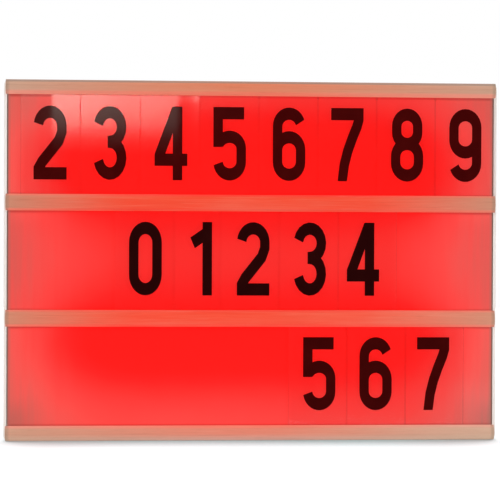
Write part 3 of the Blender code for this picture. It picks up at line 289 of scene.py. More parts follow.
def rail_shade(look, z, glow):
    """Shade on the panel just under each rail and, less, just over it, weaker where the glow is strong."""
    shade = 0.0
    for rail in RAILS:
        low, high = heights(rail)
        below = look.spread(z, low - SHADE_BELOW[0], low - SHADE_BELOW[1])
        below = look.math("MULTIPLY", below, look.math("LESS_THAN", z, high))
        above = look.spread(z, high + SHADE_ABOVE[0], high + SHADE_ABOVE[1], SHADE_ABOVE_SHARE, 0.0)
        above = look.math("MULTIPLY", above, look.math("GREATER_THAN", z, low))
        shade = look.math("MAXIMUM", shade, look.math("MAXIMUM", below, above))
    return look.math("MULTIPLY", shade, look.spread(glow, .10, .80, .42, .05))


def panel_ends(look, colour, x, z):
    """The panel's colour, with painted light and shade towards its two ends."""
    away = look.math("ABSOLUTE", x)
    # Painted light: less of it at the middle row's ends and in the lower corners
    row = look.spread(look.distance(z, MIDDLE_ROW_AT), *ROW_END_UP, 1.0, 0.0)
    weaker = look.math("MULTIPLY", row, look.spread(away, *ROW_END_ALONG))
    colour = look.mix(weaker, colour, look.tinted(colour, ROW_END_TINT))
    corner = look.math("MULTIPLY", look.spread(z, *CORNER_UP, 1.0, 0.0), look.spread(away, *CORNER_ALONG))
    colour = look.mix(corner, colour, look.tinted(colour, CORNER_TINT))
    # Painted light on the right end, paler as if lit more from that side
    right = look.spread(x, *PALER_ALONG, 0.0, PALER_SHARE)
    paler = look.math("MULTIPLY", right, look.spread(z, *PALER_UP, 1.0, .25))
    colour = look.mix(paler, colour, rgb(255, 255, 255))
    # Painted shade: a shaded band near each end
    near_end = look.spread(away, *(PANEL_HALF - inward for inward in END_BAND), 0.0, END_BAND_SHARE)
    colour = look.mix(near_end, colour, END_BAND_COLOUR)
    # Painted shadow: the dark line in the gap between the panel and the case
    line = look.spread(away, *(PANEL_HALF - inward for inward in END_GAP_SHADOW))
    return look.mix(line, colour, END_GAP_SHADOW_COLOUR)


def lit_panel():
    """Milky plastic sheet with red light behind it, shaded at the rails and at its two ends."""
    look = Look("panel_milky_red")
    x, y, z = look.axes()
    outer = look.spread(look.math("ABSOLUTE", x), *STREAKS_ALONG)
    streaks = look.noise(1.0, 3.0, .6, look.stretch((190.0, 1.0, 12.0)))
    cloud = look.noise(26.0, 2.0, .5)
    lively = look.math("MULTIPLY", look.spread(streaks, .3, .7, -.025, .025), outer)
    lively = look.math("ADD", lively, look.spread(cloud, .25, .75, -.014, .014))
    glow = look.math("ADD", glow_amount(look), lively)
    colour = look.ramp(glow, PANEL_COLOURS)
    colour = look.mix(rail_shade(look, z, glow), colour, SHADE_COLOUR)
    colour = panel_ends(look, colour, x, z)
    front = look.spread(y, *(PANEL_FRONT + depth for depth in PANEL_FACE), 1.0, PANEL_BEHIND)
    strength = look.math("ADD", PANEL_LIGHT, look.math("MULTIPLY", glow, PANEL_BOOST, clamp=True))
    fine = look.noise(1500.0, 2.0, .6)
    return look.surface({
        "Base Color": look.tinted(colour, grey(PANEL_SOLID)),
        "Emission Color": colour, "Emission Strength": look.math("MULTIPLY", front, strength),
        "Roughness": look.spread(fine, .2, .8, .44, .54), "Normal": look.bump(fine, .2, .00002),
        "Specular IOR Level": .22,
    })


# Rails: colours of the face, and of the upper and the lower edge with their painted light and shade, each
# at the ends and in the middle of the rail; the shares of its height between which each edge comes in; how
# far from the middle the light stays even, in metres; and how much painted light makes the right end paler
RAILS = {
    "top_rail": (
        ((198, 156, 132), (222, 124, 89)), ((158, 132, 118), (156, 126, 110)),
        ((234, 144, 124), (237, 108, 84)), (.80, .88), (.36, .14), .010, .0,
    ),
    "upper_middle_rail": (
        ((198, 134, 107), (246, 68, 38)), ((229, 120, 97), (255, 50, 36)),
        ((234, 118, 96), (242, 60, 36)), (.84, .95), (.18, .08), .070, .06,
    ),
    "lower_middle_rail": (
        ((206, 134, 106), (249, 73, 46)), ((230, 116, 96), (248, 68, 50)),
        ((240, 118, 98), (255, 66, 50)), (.84, .95), (.20, .08), .070, .10,
    ),
    "bottom_rail": (
        ((205, 154, 128), (228, 134, 111)), ((236, 142, 126), (246, 122, 100)),
        ((204, 168, 144), (211, 164, 149)), (.76, .94), (.55, .05), .010, .40,
    ),
}
# How the light falls off towards a rail's ends, and how much of its colour is light and how much its own
RAIL_FALL = 1.3
RAIL_LIGHT = .53
RAIL_SOLID = .62
# How much of the face's colour the painted edge light and shade take over at most
EDGE_LIGHT_SHARE = .9
# Painted light: the right half pales from this far along X, towards this colour
RIGHT_LIGHT_FROM = .02
RIGHT_LIGHT_COLOUR = rgb(214, 190, 165)
# Painted shade: the darker tips lie this far from the rail's ends, with their share and their colour
END_SHADE = (.0030, .0008)
END_SHADE_SHARE = .45
END_SHADE_COLOUR = rgb(140, 124, 108)
# How often the patterns of the wood look repeat along X, Y and Z
LONG_GRAIN = (22.0, 300.0, 1000.0)
FINE_GRAIN = (80.0, 900.0, 3800.0)
PATCHES = (10.0, 60.0, 90.0)
PORES = (120.0, 1200.0, 5600.0)


def rail_material(rail):
    """Printed wood look over light plastic: faint streaks, the red glow through it, and painted light and
    shade.
    """
    face, upper_edge_light_shade, lower_edge_light_shade, upper_band, lower_band, flat, pale = RAILS[rail]
    low, high = heights(rail)
    look = Look(rail + "_wood")
    x, _, z = look.axes()
    away = look.math("ABSOLUTE", x)
    long_grain = look.noise(1.0, 5.0, .62, look.stretch(LONG_GRAIN), 1.0)
    fine_grain = look.noise(1.0, 3.0, .7, look.stretch(FINE_GRAIN))
    patches = look.noise(1.0, 2.0, .5, look.stretch(PATCHES))
    pores = look.spread(look.noise(1.0, 1.0, .5, look.stretch(PORES)), .62, .76)
    past = look.spread(away, flat, RAIL_HALF, smooth=False)
    glow = look.math("SUBTRACT", 1.0, look.math("POWER", past, RAIL_FALL))
    height = look.math("DIVIDE", look.math("SUBTRACT", z, low), high - low)
    colour, top, foot = (
        look.mix(glow, rgb(*end), rgb(*middle)) for end, middle in (face, upper_edge_light_shade, lower_edge_light_shade)
    )
    # Painted highlight and shade along the upper and lower edges
    colour = look.mix(look.spread(height, *upper_band, 0.0, EDGE_LIGHT_SHARE), colour, top)
    colour = look.mix(look.spread(height, *lower_band, 0.0, EDGE_LIGHT_SHARE), colour, foot)
    # Painted light on the right half, paler as if lit more from that side
    colour = look.mix(look.spread(x, RIGHT_LIGHT_FROM, RAIL_HALF, 0.0, pale), colour, RIGHT_LIGHT_COLOUR)
    # Painted shade at the rail's two ends
    end_shade = look.spread(away, *(RAIL_HALF - inward for inward in END_SHADE), 0.0, END_SHADE_SHARE)
    colour = look.mix(end_shade, colour, END_SHADE_COLOUR)
    light_streak = look.spread(long_grain, .46, .72, 0.0, .13)
    dark_streak = look.spread(long_grain, .46, .26, 0.0, .25)
    colour = look.mix(light_streak, colour, look.mix(.5, colour, rgb(250, 214, 186)))
    colour = look.mix(dark_streak, colour, look.tinted(colour, rgb(196, 176, 166)))
    colour = look.mix(look.spread(fine_grain, .40, .75, 0.0, .12), colour, rgb(170, 112, 84))
    colour = look.mix(look.spread(patches, .45, .8, 0.0, .10), colour, rgb(208, 176, 148))
    colour = look.mix(look.math("MULTIPLY", pores, .14), colour, rgb(112, 70, 52))
    relief = look.math("ADD", long_grain, look.math("MULTIPLY", fine_grain, .5))
    return look.surface({
        "Base Color": look.tinted(colour, grey(RAIL_SOLID)),
        "Emission Color": look.tinted(colour, grey(RAIL_LIGHT)), "Emission Strength": 1.0,
        "Roughness": look.spread(long_grain, .3, .7, .44, .60),
        "Normal": look.bump(relief, .16, .00005), "Specular IOR Level": .35,
    })


# Tiles: how strongly the plastic mirrors, and the depth over which the front counts as glossy. The cut
# edges show from the outline inwards, the upright ones less than the level ones, and on the side faces
SHEET_IOR = 1.40
SHEET_FACE = (.0001, .0002)
CUT_UPRIGHT = (.0001, .0006, .08, 0.0)
CUT_LEVEL = (.0002, .0010, .35, 0.0)
CUT_SIDE = .12
# The cut edges' reddish colour is painted light: the panel's red glow carried into them
CUT_EDGE_RED_GLOW = rgb(150, 66, 54)


def clear_sheet(name, start, stop, tilt, scatter):
    """Thin clear acrylic between two corners: see-through, glossy on its front, with upright drawing lines,
    marks and cut edges. Its front leans by the tilt and scatters mirrored light up and down."""
    look = Look(name)
    x, y, z = look.axes()
    marks = look.noise(1.0, 4.0, .7, look.stretch((900.0, 900.0, 22.0)))
    smears = look.noise(34.0, 3.0, .6)
    ripple = look.noise(1.0, 2.0, .6, look.stretch((60.0, 60.0, 5200.0)))
    sway = look.math("MULTIPLY", look.math("SUBTRACT", ripple, .5), scatter)
    leaning = look.leaning(tilt[0], look.math("ADD", sway, tilt[1]))
    fresnel = look.add("ShaderNodeFresnel", {"IOR": SHEET_IOR, "Normal": leaning}).outputs[0]
    front = look.spread(y, *(TILE_FRONT + depth for depth in SHEET_FACE), 1.0, 0.0)
    polish = look.spread(marks, .58, .72, 1.0, .72)
    mirror = look.math("MULTIPLY", look.math("MULTIPLY", fresnel, front), polish)
    clear = look.add("ShaderNodeBsdfTransparent", {"Color": rgb(255, 255, 255)}).outputs[0]
    gloss = look.add("ShaderNodeBsdfGlossy", {
        "Color": rgb(255, 255, 255), "Normal": leaning,
        "Roughness": look.spread(smears, .35, .75, .010, .03),
    }).outputs[0]
    inward = look.math("MINIMUM", look.math("SUBTRACT", x, start.x), look.math("SUBTRACT", stop.x, x))
    upward = look.math("MINIMUM", look.math("SUBTRACT", z, start.z), look.math("SUBTRACT", stop.z, z))
    edge = look.math("MAXIMUM", look.spread(inward, *CUT_UPRIGHT), look.spread(upward, *CUT_LEVEL))
    side = look.math("LESS_THAN", look.math("ABSOLUTE", look.facing()), .5)
    edge = look.math("MAXIMUM", edge, look.math("MULTIPLY", side, CUT_SIDE))
    scuffs = look.math("MULTIPLY", look.spread(marks, .68, .80, .0, .02), front)
    # Diffuse cut edges, in a colour with painted red glow
    cut = look.add("ShaderNodeBsdfDiffuse", {"Color": CUT_EDGE_RED_GLOW}).outputs[0]
    sheet = look.add("ShaderNodeMixShader", {0: mirror, 1: clear, 2: gloss}).outputs[0]
    haze = look.math("ADD", edge, scuffs)
    return look.show(look.add("ShaderNodeMixShader", {0: haze, 1: sheet, 2: cut}).outputs[0])


def print_ink(row, through, tilt):
    """Black screen print, a little thin, so that some of the red light shows dimly through it."""
    look = Look("print_black_" + row)
    thin = look.noise(110.0, 3.0, .55)
    amount = look.spread(thin, .3, .8, through * .85, through * 1.10, smooth=False)
    return look.surface({
        "Base Color": look.mix(look.spread(thin, .35, .8), rgb(9, 2, 2), rgb(14, 5, 4)),
        "Emission Color": look.mix(amount, rgb(0, 0, 0), rgb(78, 0, 0)), "Emission Strength": 1.0,
        "Roughness": look.spread(thin, .3, .8, .03, .06), "Specular IOR Level": .10,
        "Normal": look.bump(thin, .05, .00001, look.leaning(0.0, tilt)),
    })


def circuit_board():
    """Green solder mask with copper runs under it, tinned pads and a glass weave."""
    look = Look("board_green")
    x, _, z = look.axes()
    runs = look.add("ShaderNodeTexBrick", {
        "Vector": look.add("ShaderNodeCombineXYZ", {0: x, 1: z, 2: 0.0}).outputs[0],
        "Scale": 190.0, "Mortar Size": .06, "Mortar Smooth": .2, "Brick Width": 1.4, "Row Height": .45,
    }).outputs["Fac"]
    dots = look.add("ShaderNodeTexVoronoi", {"Vector": look.place, "Scale": 420.0}).outputs["Distance"]
    weave = look.noise(3200.0, 2.0, .6)
    base = look.mix(runs, rgb(18, 92, 44), rgb(34, 122, 62))
    base = look.mix(look.spread(weave, .3, .7, 0.0, .3), base, rgb(12, 70, 34))
    pads = look.spread(dots, .10, .15, 1.0, 0.0)
    return look.surface({
        "Base Color": look.mix(pads, base, rgb(196, 190, 176)),
        "Roughness": look.spread(look.noise(900.0, 2.0, .5), .3, .7, .25, .38),
        "Metallic": look.math("MULTIPLY", pads, .9),
        "Normal": look.bump(look.math("ADD", runs, pads), .35, .00006), "IOR": 1.5,
    })


# Strips of lights: the share of their depth, from the front, that the light packages take up, and how far
# the copper runs lie above and below the strip's middle
PACKAGE_SHARE = .55
RUN_AWAY = .0034


def light_strip(strip):
    """White board with copper runs, and small light packages with a yellow middle on its front."""
    start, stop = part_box(strip)
    front = start.y + (stop.y - start.y) * PACKAGE_SHARE
    look = Look(strip + "_white")
    x, y, z = look.axes()
    proud = look.math("LESS_THAN", y, front)
    centre_z = look.distance(z, (start.z + stop.z) / 2)
    runs = look.spread(look.distance(centre_z, RUN_AWAY), .0002, .0004, 1.0, 0.0)
    speck = look.noise(1800.0, 2.0, .5)
    board = look.mix(runs, rgb(232, 232, 226), rgb(206, 172, 120))
    board = look.mix(look.spread(speck, .4, .8, 0.0, .3), board, rgb(200, 202, 198))
    steps = look.math("FRACT", look.math("ADD", look.math("DIVIDE", x, LIGHT_PITCH), 100.0))
    centre_x = look.math("MULTIPLY", look.distance(steps, .5), LIGHT_PITCH)
    across = look.math("MAXIMUM", centre_x, centre_z)
    inside = look.spread(across, LIGHT_HALF * .66, LIGHT_HALF * .74, 1.0, 0.0)
    cup = look.mix(inside, rgb(238, 236, 228), rgb(238, 196, 92))
    return look.surface({
        "Base Color": look.mix(proud, board, cup),
        "Emission Color": rgb(255, 30, 22), "Emission Strength": look.math("MULTIPLY", proud, .25),
        "Roughness": look.spread(speck, .3, .8, .30, .45), "Normal": look.bump(speck, .2, .00002),
    })


# Printed wrap of a cell, in shares of its length from its negative end
BARE_BELOW = (.008, .010)
BAND_ABOVE = (.70, .704)
RING_BELOW = (.712, .716)
BARE_ABOVE = (.966, .968)


def cell_wrap(name, low, high, flipped):
    """Printed shrink wrap of a dry cell: dark body with a coppery band at its positive end, steel ends."""
    look = Look(name)
    z = look.axes()[2]
    share = look.spread(z, low, high, 1.0 if flipped else 0.0, 0.0 if flipped else 1.0, smooth=False)
    band = look.spread(share, *BAND_ABOVE)
    ring = look.math("MULTIPLY", band, look.spread(share, *RING_BELOW, 1.0, 0.0))
    ends = look.math("MAXIMUM", look.spread(share, *BARE_BELOW, 1.0, 0.0), look.spread(share, *BARE_ABOVE))
    speck = look.noise(900.0, 3.0, .6)
    brushed = look.noise(1.0, 3.0, .6, look.stretch((2400.0, 2400.0, 60.0)))
    body = look.mix(look.spread(speck, .3, .8, 0.0, .4), rgb(36, 38, 42), rgb(54, 56, 62))
    copper = look.mix(look.spread(brushed, .3, .7), rgb(176, 112, 62), rgb(206, 142, 88))
    steel = look.mix(look.spread(brushed, .3, .7), rgb(176, 176, 174), rgb(204, 204, 200))
    wrap = look.mix(band, body, copper)
    wrap = look.mix(ring, wrap, rgb(222, 220, 214))
    return look.surface({
        "Base Color": look.mix(ends, wrap, steel),
        "Metallic": look.math("MAXIMUM", ends, look.math("MULTIPLY", band, .55)),
        "Roughness": look.spread(speck, .3, .8, .26, .34), "Normal": look.bump(speck, .05, .00001),
    })


def bright_metal(name, colour, shade, roughness, grain):
    """Plated metal with drawn streaks and dulled patches."""
    look = Look(name)
    streaks = look.noise(1.0, 3.0, .6, look.stretch(grain))
    dull = look.noise(420.0, 4.0, .6)
    return look.surface({
        "Base Color": look.mix(look.spread(dull, .4, .75), colour, shade), "Metallic": 1.0,
        "Roughness": look.spread(streaks, .3, .7, roughness - .06, roughness + .10),
        "Normal": look.bump(streaks, .25, .00002),
    })


def wire_cover(name, colour, shade):
    """Soft insulation with a faint waxy sheen and scuffs."""
    look = Look(name)
    scuff = look.noise(700.0, 4.0, .65)
    fine = look.noise(4200.0, 2.0, .5)
    return look.surface({
        "Base Color": look.mix(look.spread(scuff, .45, .8, 0.0, .7), colour, shade),
        "Roughness": look.spread(scuff, .3, .8, .34, .52), "Normal": look.bump(fine, .2, .00002),
        "Sheen Weight": .15, "Sheen Roughness": .5,
    })


def dress(name, material):
    """Gives a carried-over piece its finish."""
    piece = nodes[name]
    piece.data.materials.clear()
    piece.data.materials.append(material)


# Figures on the tiles, in metres from their lower middle. The pen is an oval of these half widths, and the
# middle of its line keeps that far from the figure's outline
FIGURE_HEIGHT = .045
FIGURE_HALF = .0100
PEN_X = .0029
PEN_Z = .00375
MIDDLE_X = FIGURE_HALF - PEN_X
LOW_Z = PEN_Z
HIGH_Z = FIGURE_HEIGHT - PEN_Z
WAIST = .0232
BOWL = .0078
ARC_STEPS = 14


def arc(centre_x, centre_z, radius_x, radius_z, start, end):
    """Points on part of an oval, angles in degrees from +X towards +Z."""
    points = []
    for step in range(ARC_STEPS + 1):
        angle = math.radians(start + (end - start) * step / ARC_STEPS)
        points.append((centre_x + radius_x * math.cos(angle), centre_z + radius_z * math.sin(angle)))
    return points


def ring(low, high, radius, half=MIDDLE_X):
    """A closed upright oval with straight sides, between two heights."""
    points = arc(0.0, high - radius, half, radius, 0.0, 180.0)
    points += arc(0.0, low + radius, half, radius, 180.0, 360.0)
    return points + [points[0]]


def turned(strokes):
    """The same strokes turned half a turn in their place."""
    return [[(-x, FIGURE_HEIGHT - z) for x, z in points] for points in strokes]


SIX = [
    arc(0.0, HIGH_Z - BOWL, MIDDLE_X, BOWL, 18.0, 180.0)
    + arc(0.0, LOW_Z + BOWL, MIDDLE_X, BOWL, 180.0, 360.0)
    + arc(0.0, .0268 - BOWL, MIDDLE_X, BOWL, 0.0, 180.0),
]
# Each figure is a set of overlapping strokes, given by the middle of the pen's line
STROKES = {
    "0": [ring(LOW_Z, HIGH_Z, .0090)],
    "1": [
        [(.0022, 0.0), (.0022, FIGURE_HEIGHT)],
        [(.0022, .0385), (-.0068, .0322)],
    ],
    "2": [
        arc(0.0, HIGH_Z - .0086, MIDDLE_X, .0086, 172.0, 0.0)
        + [(MIDDLE_X, .0290), (.0052, .0235), (-.0048, .0108), (-MIDDLE_X, .0066), (-MIDDLE_X, LOW_Z)],
        [(-FIGURE_HALF, LOW_Z), (FIGURE_HALF, LOW_Z)],
    ],
    "3": [
        arc(0.0, (HIGH_Z + WAIST) / 2, MIDDLE_X, (HIGH_Z - WAIST) / 2, 168.0, -90.0) + [(-.0014, WAIST)],
        arc(0.0, (LOW_Z + WAIST) / 2, MIDDLE_X, (WAIST - LOW_Z) / 2, -168.0, 90.0) + [(-.0014, WAIST)],
    ],
    "4": [
        [(.0040, 0.0), (.0040, FIGURE_HEIGHT)],
        [(.0034, .0440), (-.0072, .0148)],
        [(-FIGURE_HALF, .0125), (FIGURE_HALF, .0125)],
    ],
    "5": [
        [(-FIGURE_HALF, HIGH_Z), (.0088, HIGH_Z)],
        [(-MIDDLE_X, FIGURE_HEIGHT), (-MIDDLE_X, .0205)],
        arc(0.0, .0196, MIDDLE_X, .0072, 150.0, 0.0)
        + arc(0.0, LOW_Z + BOWL, MIDDLE_X, BOWL, 0.0, -172.0),
    ],
    "6": SIX,
    "7": [
        [(-FIGURE_HALF, HIGH_Z), (FIGURE_HALF, HIGH_Z)],
        [(MIDDLE_X, .0400), (MIDDLE_X, .0378), (.0059, .0335), (.0030, .0262), (.0003, .0185)]
        + [(-.0018, .0100), (-.0030, -.0012)],
    ],
    "8": [
        ring(LOW_Z, WAIST, BOWL),
        ring(WAIST, HIGH_Z, .0072, MIDDLE_X - .0006),
    ],
    "9": turned(SIX),
}
# Each tile's figure and where its middle lies, then the height of the figures' feet in each row
FIGURES = {
    "tile_top_1": ("2", -.1234), "tile_top_2": ("3", -.0871), "tile_top_3": ("4", -.0499),
    "tile_top_4": ("5", -.0140), "tile_top_5": ("6", .0225), "tile_top_6": ("7", .0584),
    "tile_top_7": ("8", .0955), "tile_top_8": ("9", .1317),
    "tile_middle_1": ("0", -.0653), "tile_middle_2": ("1", -.0297), "tile_middle_3": ("2", .0007),
    "tile_middle_4": ("3", .0356), "tile_middle_5": ("4", .0685),
    "tile_bottom_1": ("5", .0417), "tile_bottom_2": ("6", .0766), "tile_bottom_3": ("7", .1123),
}
FIGURE_FEET = {"top": .1594, "middle": .0889, "bottom": .0183}
# How much of the red light comes through the print in each row, and how far the rows' tiles lean back in
# their grooves: those of the lower rows mirror the room and not the floor
INK_THROUGH = {"top": .66, "middle": .20, "bottom": .56}
ROW_TILT = {"top": 0.0, "middle": .03, "bottom": .07}
# Tiles that mirror the window, with how much each scatters it up and down, and what the others scatter
MIRRORING = {"tile_top_1": 0.0, "tile_top_2": .016, "tile_top_3": .006}
SCATTER = .04
# Small leans of the other tiles along X and Z, given out in turn
TILTS = ((.0010, .0006), (.0030, .0008), (.0016, -.0004), (.0008, .0004), (-.0006, -.0010))

# Drawing with the pen, lengths in its half widths: points closer than the first are one, a step shorter
# than the second has no direction, and a corner reaches out by one over the third at most
SAME_POINT = 1e-6
NO_STEP = 1e-9
SHARPEST = .6
# The print reaches a little into its tile and stands a little proud of it. Its points are joined within the
# first distance below, and its flat faces within the angle, in radians
PRINT_SUNK = .00002
PRINT_PROUD = .00006
JOINED_WITHIN = 1e-7
FLAT_WITHIN = .002


def ribbon(points):
    """The two sides of a stroke, drawn with an oval pen and cut square at its ends, as quads."""
    scaled = [Vector((x / PEN_X, z / PEN_Z)) for x, z in points]
    closed = (scaled[0] - scaled[-1]).length < SAME_POINT
    count = len(scaled) - 1 if closed else len(scaled)
    sides = []
    for index in range(count):
        if closed:
            before, after = scaled[index - 1] if index else scaled[count - 1], scaled[index + 1]
        else:
            before, after = scaled[max(index - 1, 0)], scaled[min(index + 1, count - 1)]
        here = scaled[index]
        step_in = here - before
        step_out = after - here
        into = step_in.normalized() if step_in.length > NO_STEP else step_out.normalized()
        out = step_out.normalized() if step_out.length > NO_STEP else into
        along = (into + out).normalized()
        normal = Vector((-along.y, along.x))
        reach = 1.0 / max(normal.dot(Vector((-into.y, into.x))), SHARPEST)
        sides.append((here + normal * reach, here - normal * reach))
    quads = []
    for index in range(count if closed else count - 1):
        a, b = sides[index], sides[(index + 1) % count]
        quads.append([a[0], b[0], b[1], a[1]])
    return [[Vector((p.x * PEN_X, p.y * PEN_Z)) for p in quad] for quad in quads]


def covered(point, quads):
    """True where a point lies on any of the strokes' quads."""
    inside = geometry.intersect_point_tri_2d
    return any(inside(point, a, b, c) or inside(point, a, c, d) for a, b, c, d in quads)


def printed_figure(name, strokes, centre, foot):
    """One figure as a thin raised print on its tile's front."""
    quads = []
    for stroke in strokes:
        for quad in ribbon(stroke):
            quads.append([Vector((p.x, min(max(p.y, 0.0), FIGURE_HEIGHT))) for p in quad])
    points = [p for quad in quads for p in quad]
    outlines = [list(range(start, start + 4)) for start in range(0, len(points), 4)]
    places, _, faces, *_ = geometry.delaunay_2d_cdt(points, [], outlines, 0, JOINED_WITHIN)
    mesh = bmesh.new()
    verts = [mesh.verts.new((p.x + centre, TILE_FRONT + PRINT_SUNK, p.y + foot)) for p in places]
    for face in faces:
        middle = sum((places[corner] for corner in face), Vector((0.0, 0.0))) / len(face)
        if covered(middle, quads):
            mesh.faces.new([verts[corner] for corner in face])
    loose = [v for v in mesh.verts if not v.link_faces]
    bmesh.ops.delete(mesh, geom=loose, context="VERTS")
    bmesh.ops.dissolve_limit(mesh, angle_limit=FLAT_WITHIN, verts=mesh.verts[:], edges=mesh.edges[:])
    bmesh.ops.recalc_face_normals(mesh, faces=mesh.faces[:])
    for face in mesh.faces:
        if face.normal.y > 0:
            face.normal_flip()
    raised = bmesh.ops.extrude_face_region(mesh, geom=mesh.faces[:])
    moved = [v for v in raised["geom"] if isinstance(v, bmesh.types.BMVert)]
    bmesh.ops.translate(mesh, verts=moved, vec=(0.0, -PRINT_SUNK - PRINT_PROUD, 0.0))
    bmesh.ops.recalc_face_normals(mesh, faces=mesh.faces[:])
    data = bpy.data.meshes.new(name)
    mesh.to_mesh(data)
    mesh.free()
    piece = bpy.data.objects.new(name, data)
    bpy.context.scene.collection.objects.link(piece)
    return piece


inks = {row: print_ink(row, through, ROW_TILT[row]) for row, through in INK_THROUGH.items()}
for tile, (figure, centre) in FIGURES.items():
    row = tile.split("_")[1]
    piece = printed_figure("figure_" + tile[5:], STROKES[figure], centre, FIGURE_FEET[row])
    piece.data.materials.append(inks[row])
    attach(piece, tile)

# Finishes of the carried-over pieces
dress("case", moulded_plastic("case_white", rgb(238, 235, 229), rgb(230, 226, 218), .42, rim=.20))
dress("back_cover", moulded_plastic("cover_white", rgb(231, 229, 224), rgb(227, 224, 218), .46))
dress("battery_cover", moulded_plastic("lid_white", rgb(228, 226, 220), rgb(224, 221, 214), .44))
dress("diffuser_panel", lit_panel())
for rail in RAILS:
    dress(rail, rail_material(rail))
for index, tile in enumerate(sorted(FIGURES)):
    lean = (0.0, 0.0) if tile in MIRRORING else TILTS[index % len(TILTS)]
    row = tile.split("_")[1]
    if row != "top":
        lean = (lean[0], ROW_TILT[row])
    dress(tile, clear_sheet(tile + "_clear", *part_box(tile), lean, MIRRORING.get(tile, SCATTER)))
dress("control_board", circuit_board())
for strip in ("upper_led_strip", "lower_led_strip"):
    dress(strip, light_strip(strip))
for index in range(1, 7):
    wrap = cell_wrap(f"cell_wrap_{index}", *heights(f"cell_{index}"), index % 2 == 0)
    dress(f"cell_{index}", wrap)
spring_steel = bright_metal(
    "contact_steel", rgb(206, 205, 200), rgb(180, 178, 172), .26, (1800.0, 1800.0, 1800.0))
screw_steel = bright_metal(
    "screw_steel", rgb(188, 188, 186), rgb(158, 158, 156), .34, (2600.0, 200.0, 2600.0))
for name in nodes:
    if "bridge" in name or "terminal" in name or name in ("power_socket", "push_switch"):
        dress(name, spring_steel)
    if "screw" in name:
        dress(name, screw_steel)
control_black = moulded_plastic("control_black", rgb(30, 30, 31), rgb(44, 44, 45), .40)
for name in ("power_slider", "mode_button", "slide_switch"):
    dress(name, control_black)
red_wire = wire_cover("wire_red", rgb(176, 26, 22), rgb(142, 22, 20))
black_wire = wire_cover("wire_black", rgb(26, 26, 27), rgb(52, 50, 50))
for name in ("positive_lead", "upper_led_lead"):
    dress(name, red_wire)
for name in ("negative_lead", "lower_led_lead"):
    dress(name, black_wire)

# Floor: half its size, its colour for the light that it throws back, its colour under the added white where
# it is seen, and the same ahead of the box, painted less red there against the panel's red light on it
FLOOR_HALF = 1.5
FLOOR_COLOUR = rgb(232, 233, 236)
FLOOR_SEEN = rgb(165, 172, 174)
FLOOR_AHEAD = rgb(165, 203, 206)
# Painted contact shadow: how far around a point the air is tried, and the white added from shut in to open
# air
AIR_REACH = .05
AIR_SAMPLES = 16
OPEN_AIR = (.57, .90, .14, .82)
# The white added past the case's sides, along X, where less of the painted contact shadow shows. Then the
# stretch ahead of the case painted less red against the red light: how far behind the case's front it ends,
# and where it ends along X
BESIDE = (.146, .154, 0.0, .74)
AHEAD_FROM_FRONT = (-.002, .004)
AHEAD_ALONG = (.060, .152)


def pale_floor():
    """A floor that shows white to the camera, keeps the lamps' shadow, and has a painted contact shadow
    near the box.
    """
    floor_mesh = bpy.data.meshes.new("floor")
    shape = bmesh.new()
    bmesh.ops.create_grid(shape, x_segments=1, y_segments=1, size=FLOOR_HALF)
    shape.to_mesh(floor_mesh)
    shape.free()
    floor = bpy.data.objects.new("floor", floor_mesh)
    bpy.context.scene.collection.objects.link(floor)
    look = Look("floor_pale")
    seen = look.math("MAXIMUM", *look.sight())
    air = look.add("ShaderNodeAmbientOcclusion", {"Distance": AIR_REACH}, samples=AIR_SAMPLES)
    x, y, _ = look.axes()
    away = look.math("ABSOLUTE", x)
    # Painted contact shadow: less white added where the air near the box is shut in
    lift = look.spread(air.outputs["AO"], *OPEN_AIR, smooth=False)
    lift = look.math("MAXIMUM", lift, look.spread(away, *BESIDE))
    lift = look.math("MULTIPLY", seen, lift)
    # Painted colour ahead of the box, less red, against the panel's red light
    ahead = look.spread(y, *(CASE_FRONT + past for past in AHEAD_FROM_FRONT), 1.0, 0.0)
    ahead = look.math("MULTIPLY", ahead, look.spread(away, *AHEAD_ALONG, 1.0, 0.0))
    shown = look.mix(seen, FLOOR_COLOUR, look.mix(ahead, FLOOR_SEEN, FLOOR_AHEAD))
    matt = look.add("ShaderNodeBsdfDiffuse", {"Color": shown}).outputs[0]
    extra = look.add("ShaderNodeEmission", {"Color": rgb(255, 255, 255), "Strength": lift}).outputs[0]
    both = look.add("ShaderNodeAddShader", {0: matt, 1: extra}).outputs[0]
    floor_mesh.materials.append(look.show(both))


# Surround: how strong it is in front of the box and behind it, between these shares of the way there
SURROUND = (-.6, .6, .16, .50)
# White in mirrors from the sides to the back
MIRRORED = (.0, .4)


def studio_world():
    """A soft pale surround, dimmer in front, that shows white to the camera."""
    world = bpy.data.worlds.new("studio")
    bpy.context.scene.world = world
    world.use_nodes = True
    sky = Nodes(world.node_tree)
    towards = sky.axes(sky.add("ShaderNodeTexCoord").outputs["Generated"])[1]
    level = sky.spread(towards, *SURROUND, smooth=False)
    direct, glossy = sky.sight()
    mirrored = sky.math("MULTIPLY", glossy, sky.spread(towards, *MIRRORED))
    level = sky.math("MAXIMUM", level, sky.math("MAXIMUM", direct, mirrored))
    glare = sky.add("ShaderNodeBackground", {"Color": (1.0, 1.0, 1.0, 1.0), "Strength": level}).outputs[0]
    sky.tree.links.new(glare, sky.add("ShaderNodeOutputWorld").inputs["Surface"])


def lamp(name, place, target, width, height, power):
    """A flat lamp at a place, turned to a target, that the camera doesn't see."""
    data = bpy.data.lights.new(name, "AREA")
    data.shape = "RECTANGLE"
    data.size = width
    data.size_y = height
    data.energy = power
    item = bpy.data.objects.new(name, data)
    item.location = place
    item.rotation_euler = (Vector(target) - Vector(place)).to_track_quat("-Z", "Y").to_euler()
    item.visible_camera = False
    bpy.context.scene.collection.objects.link(item)
    return item


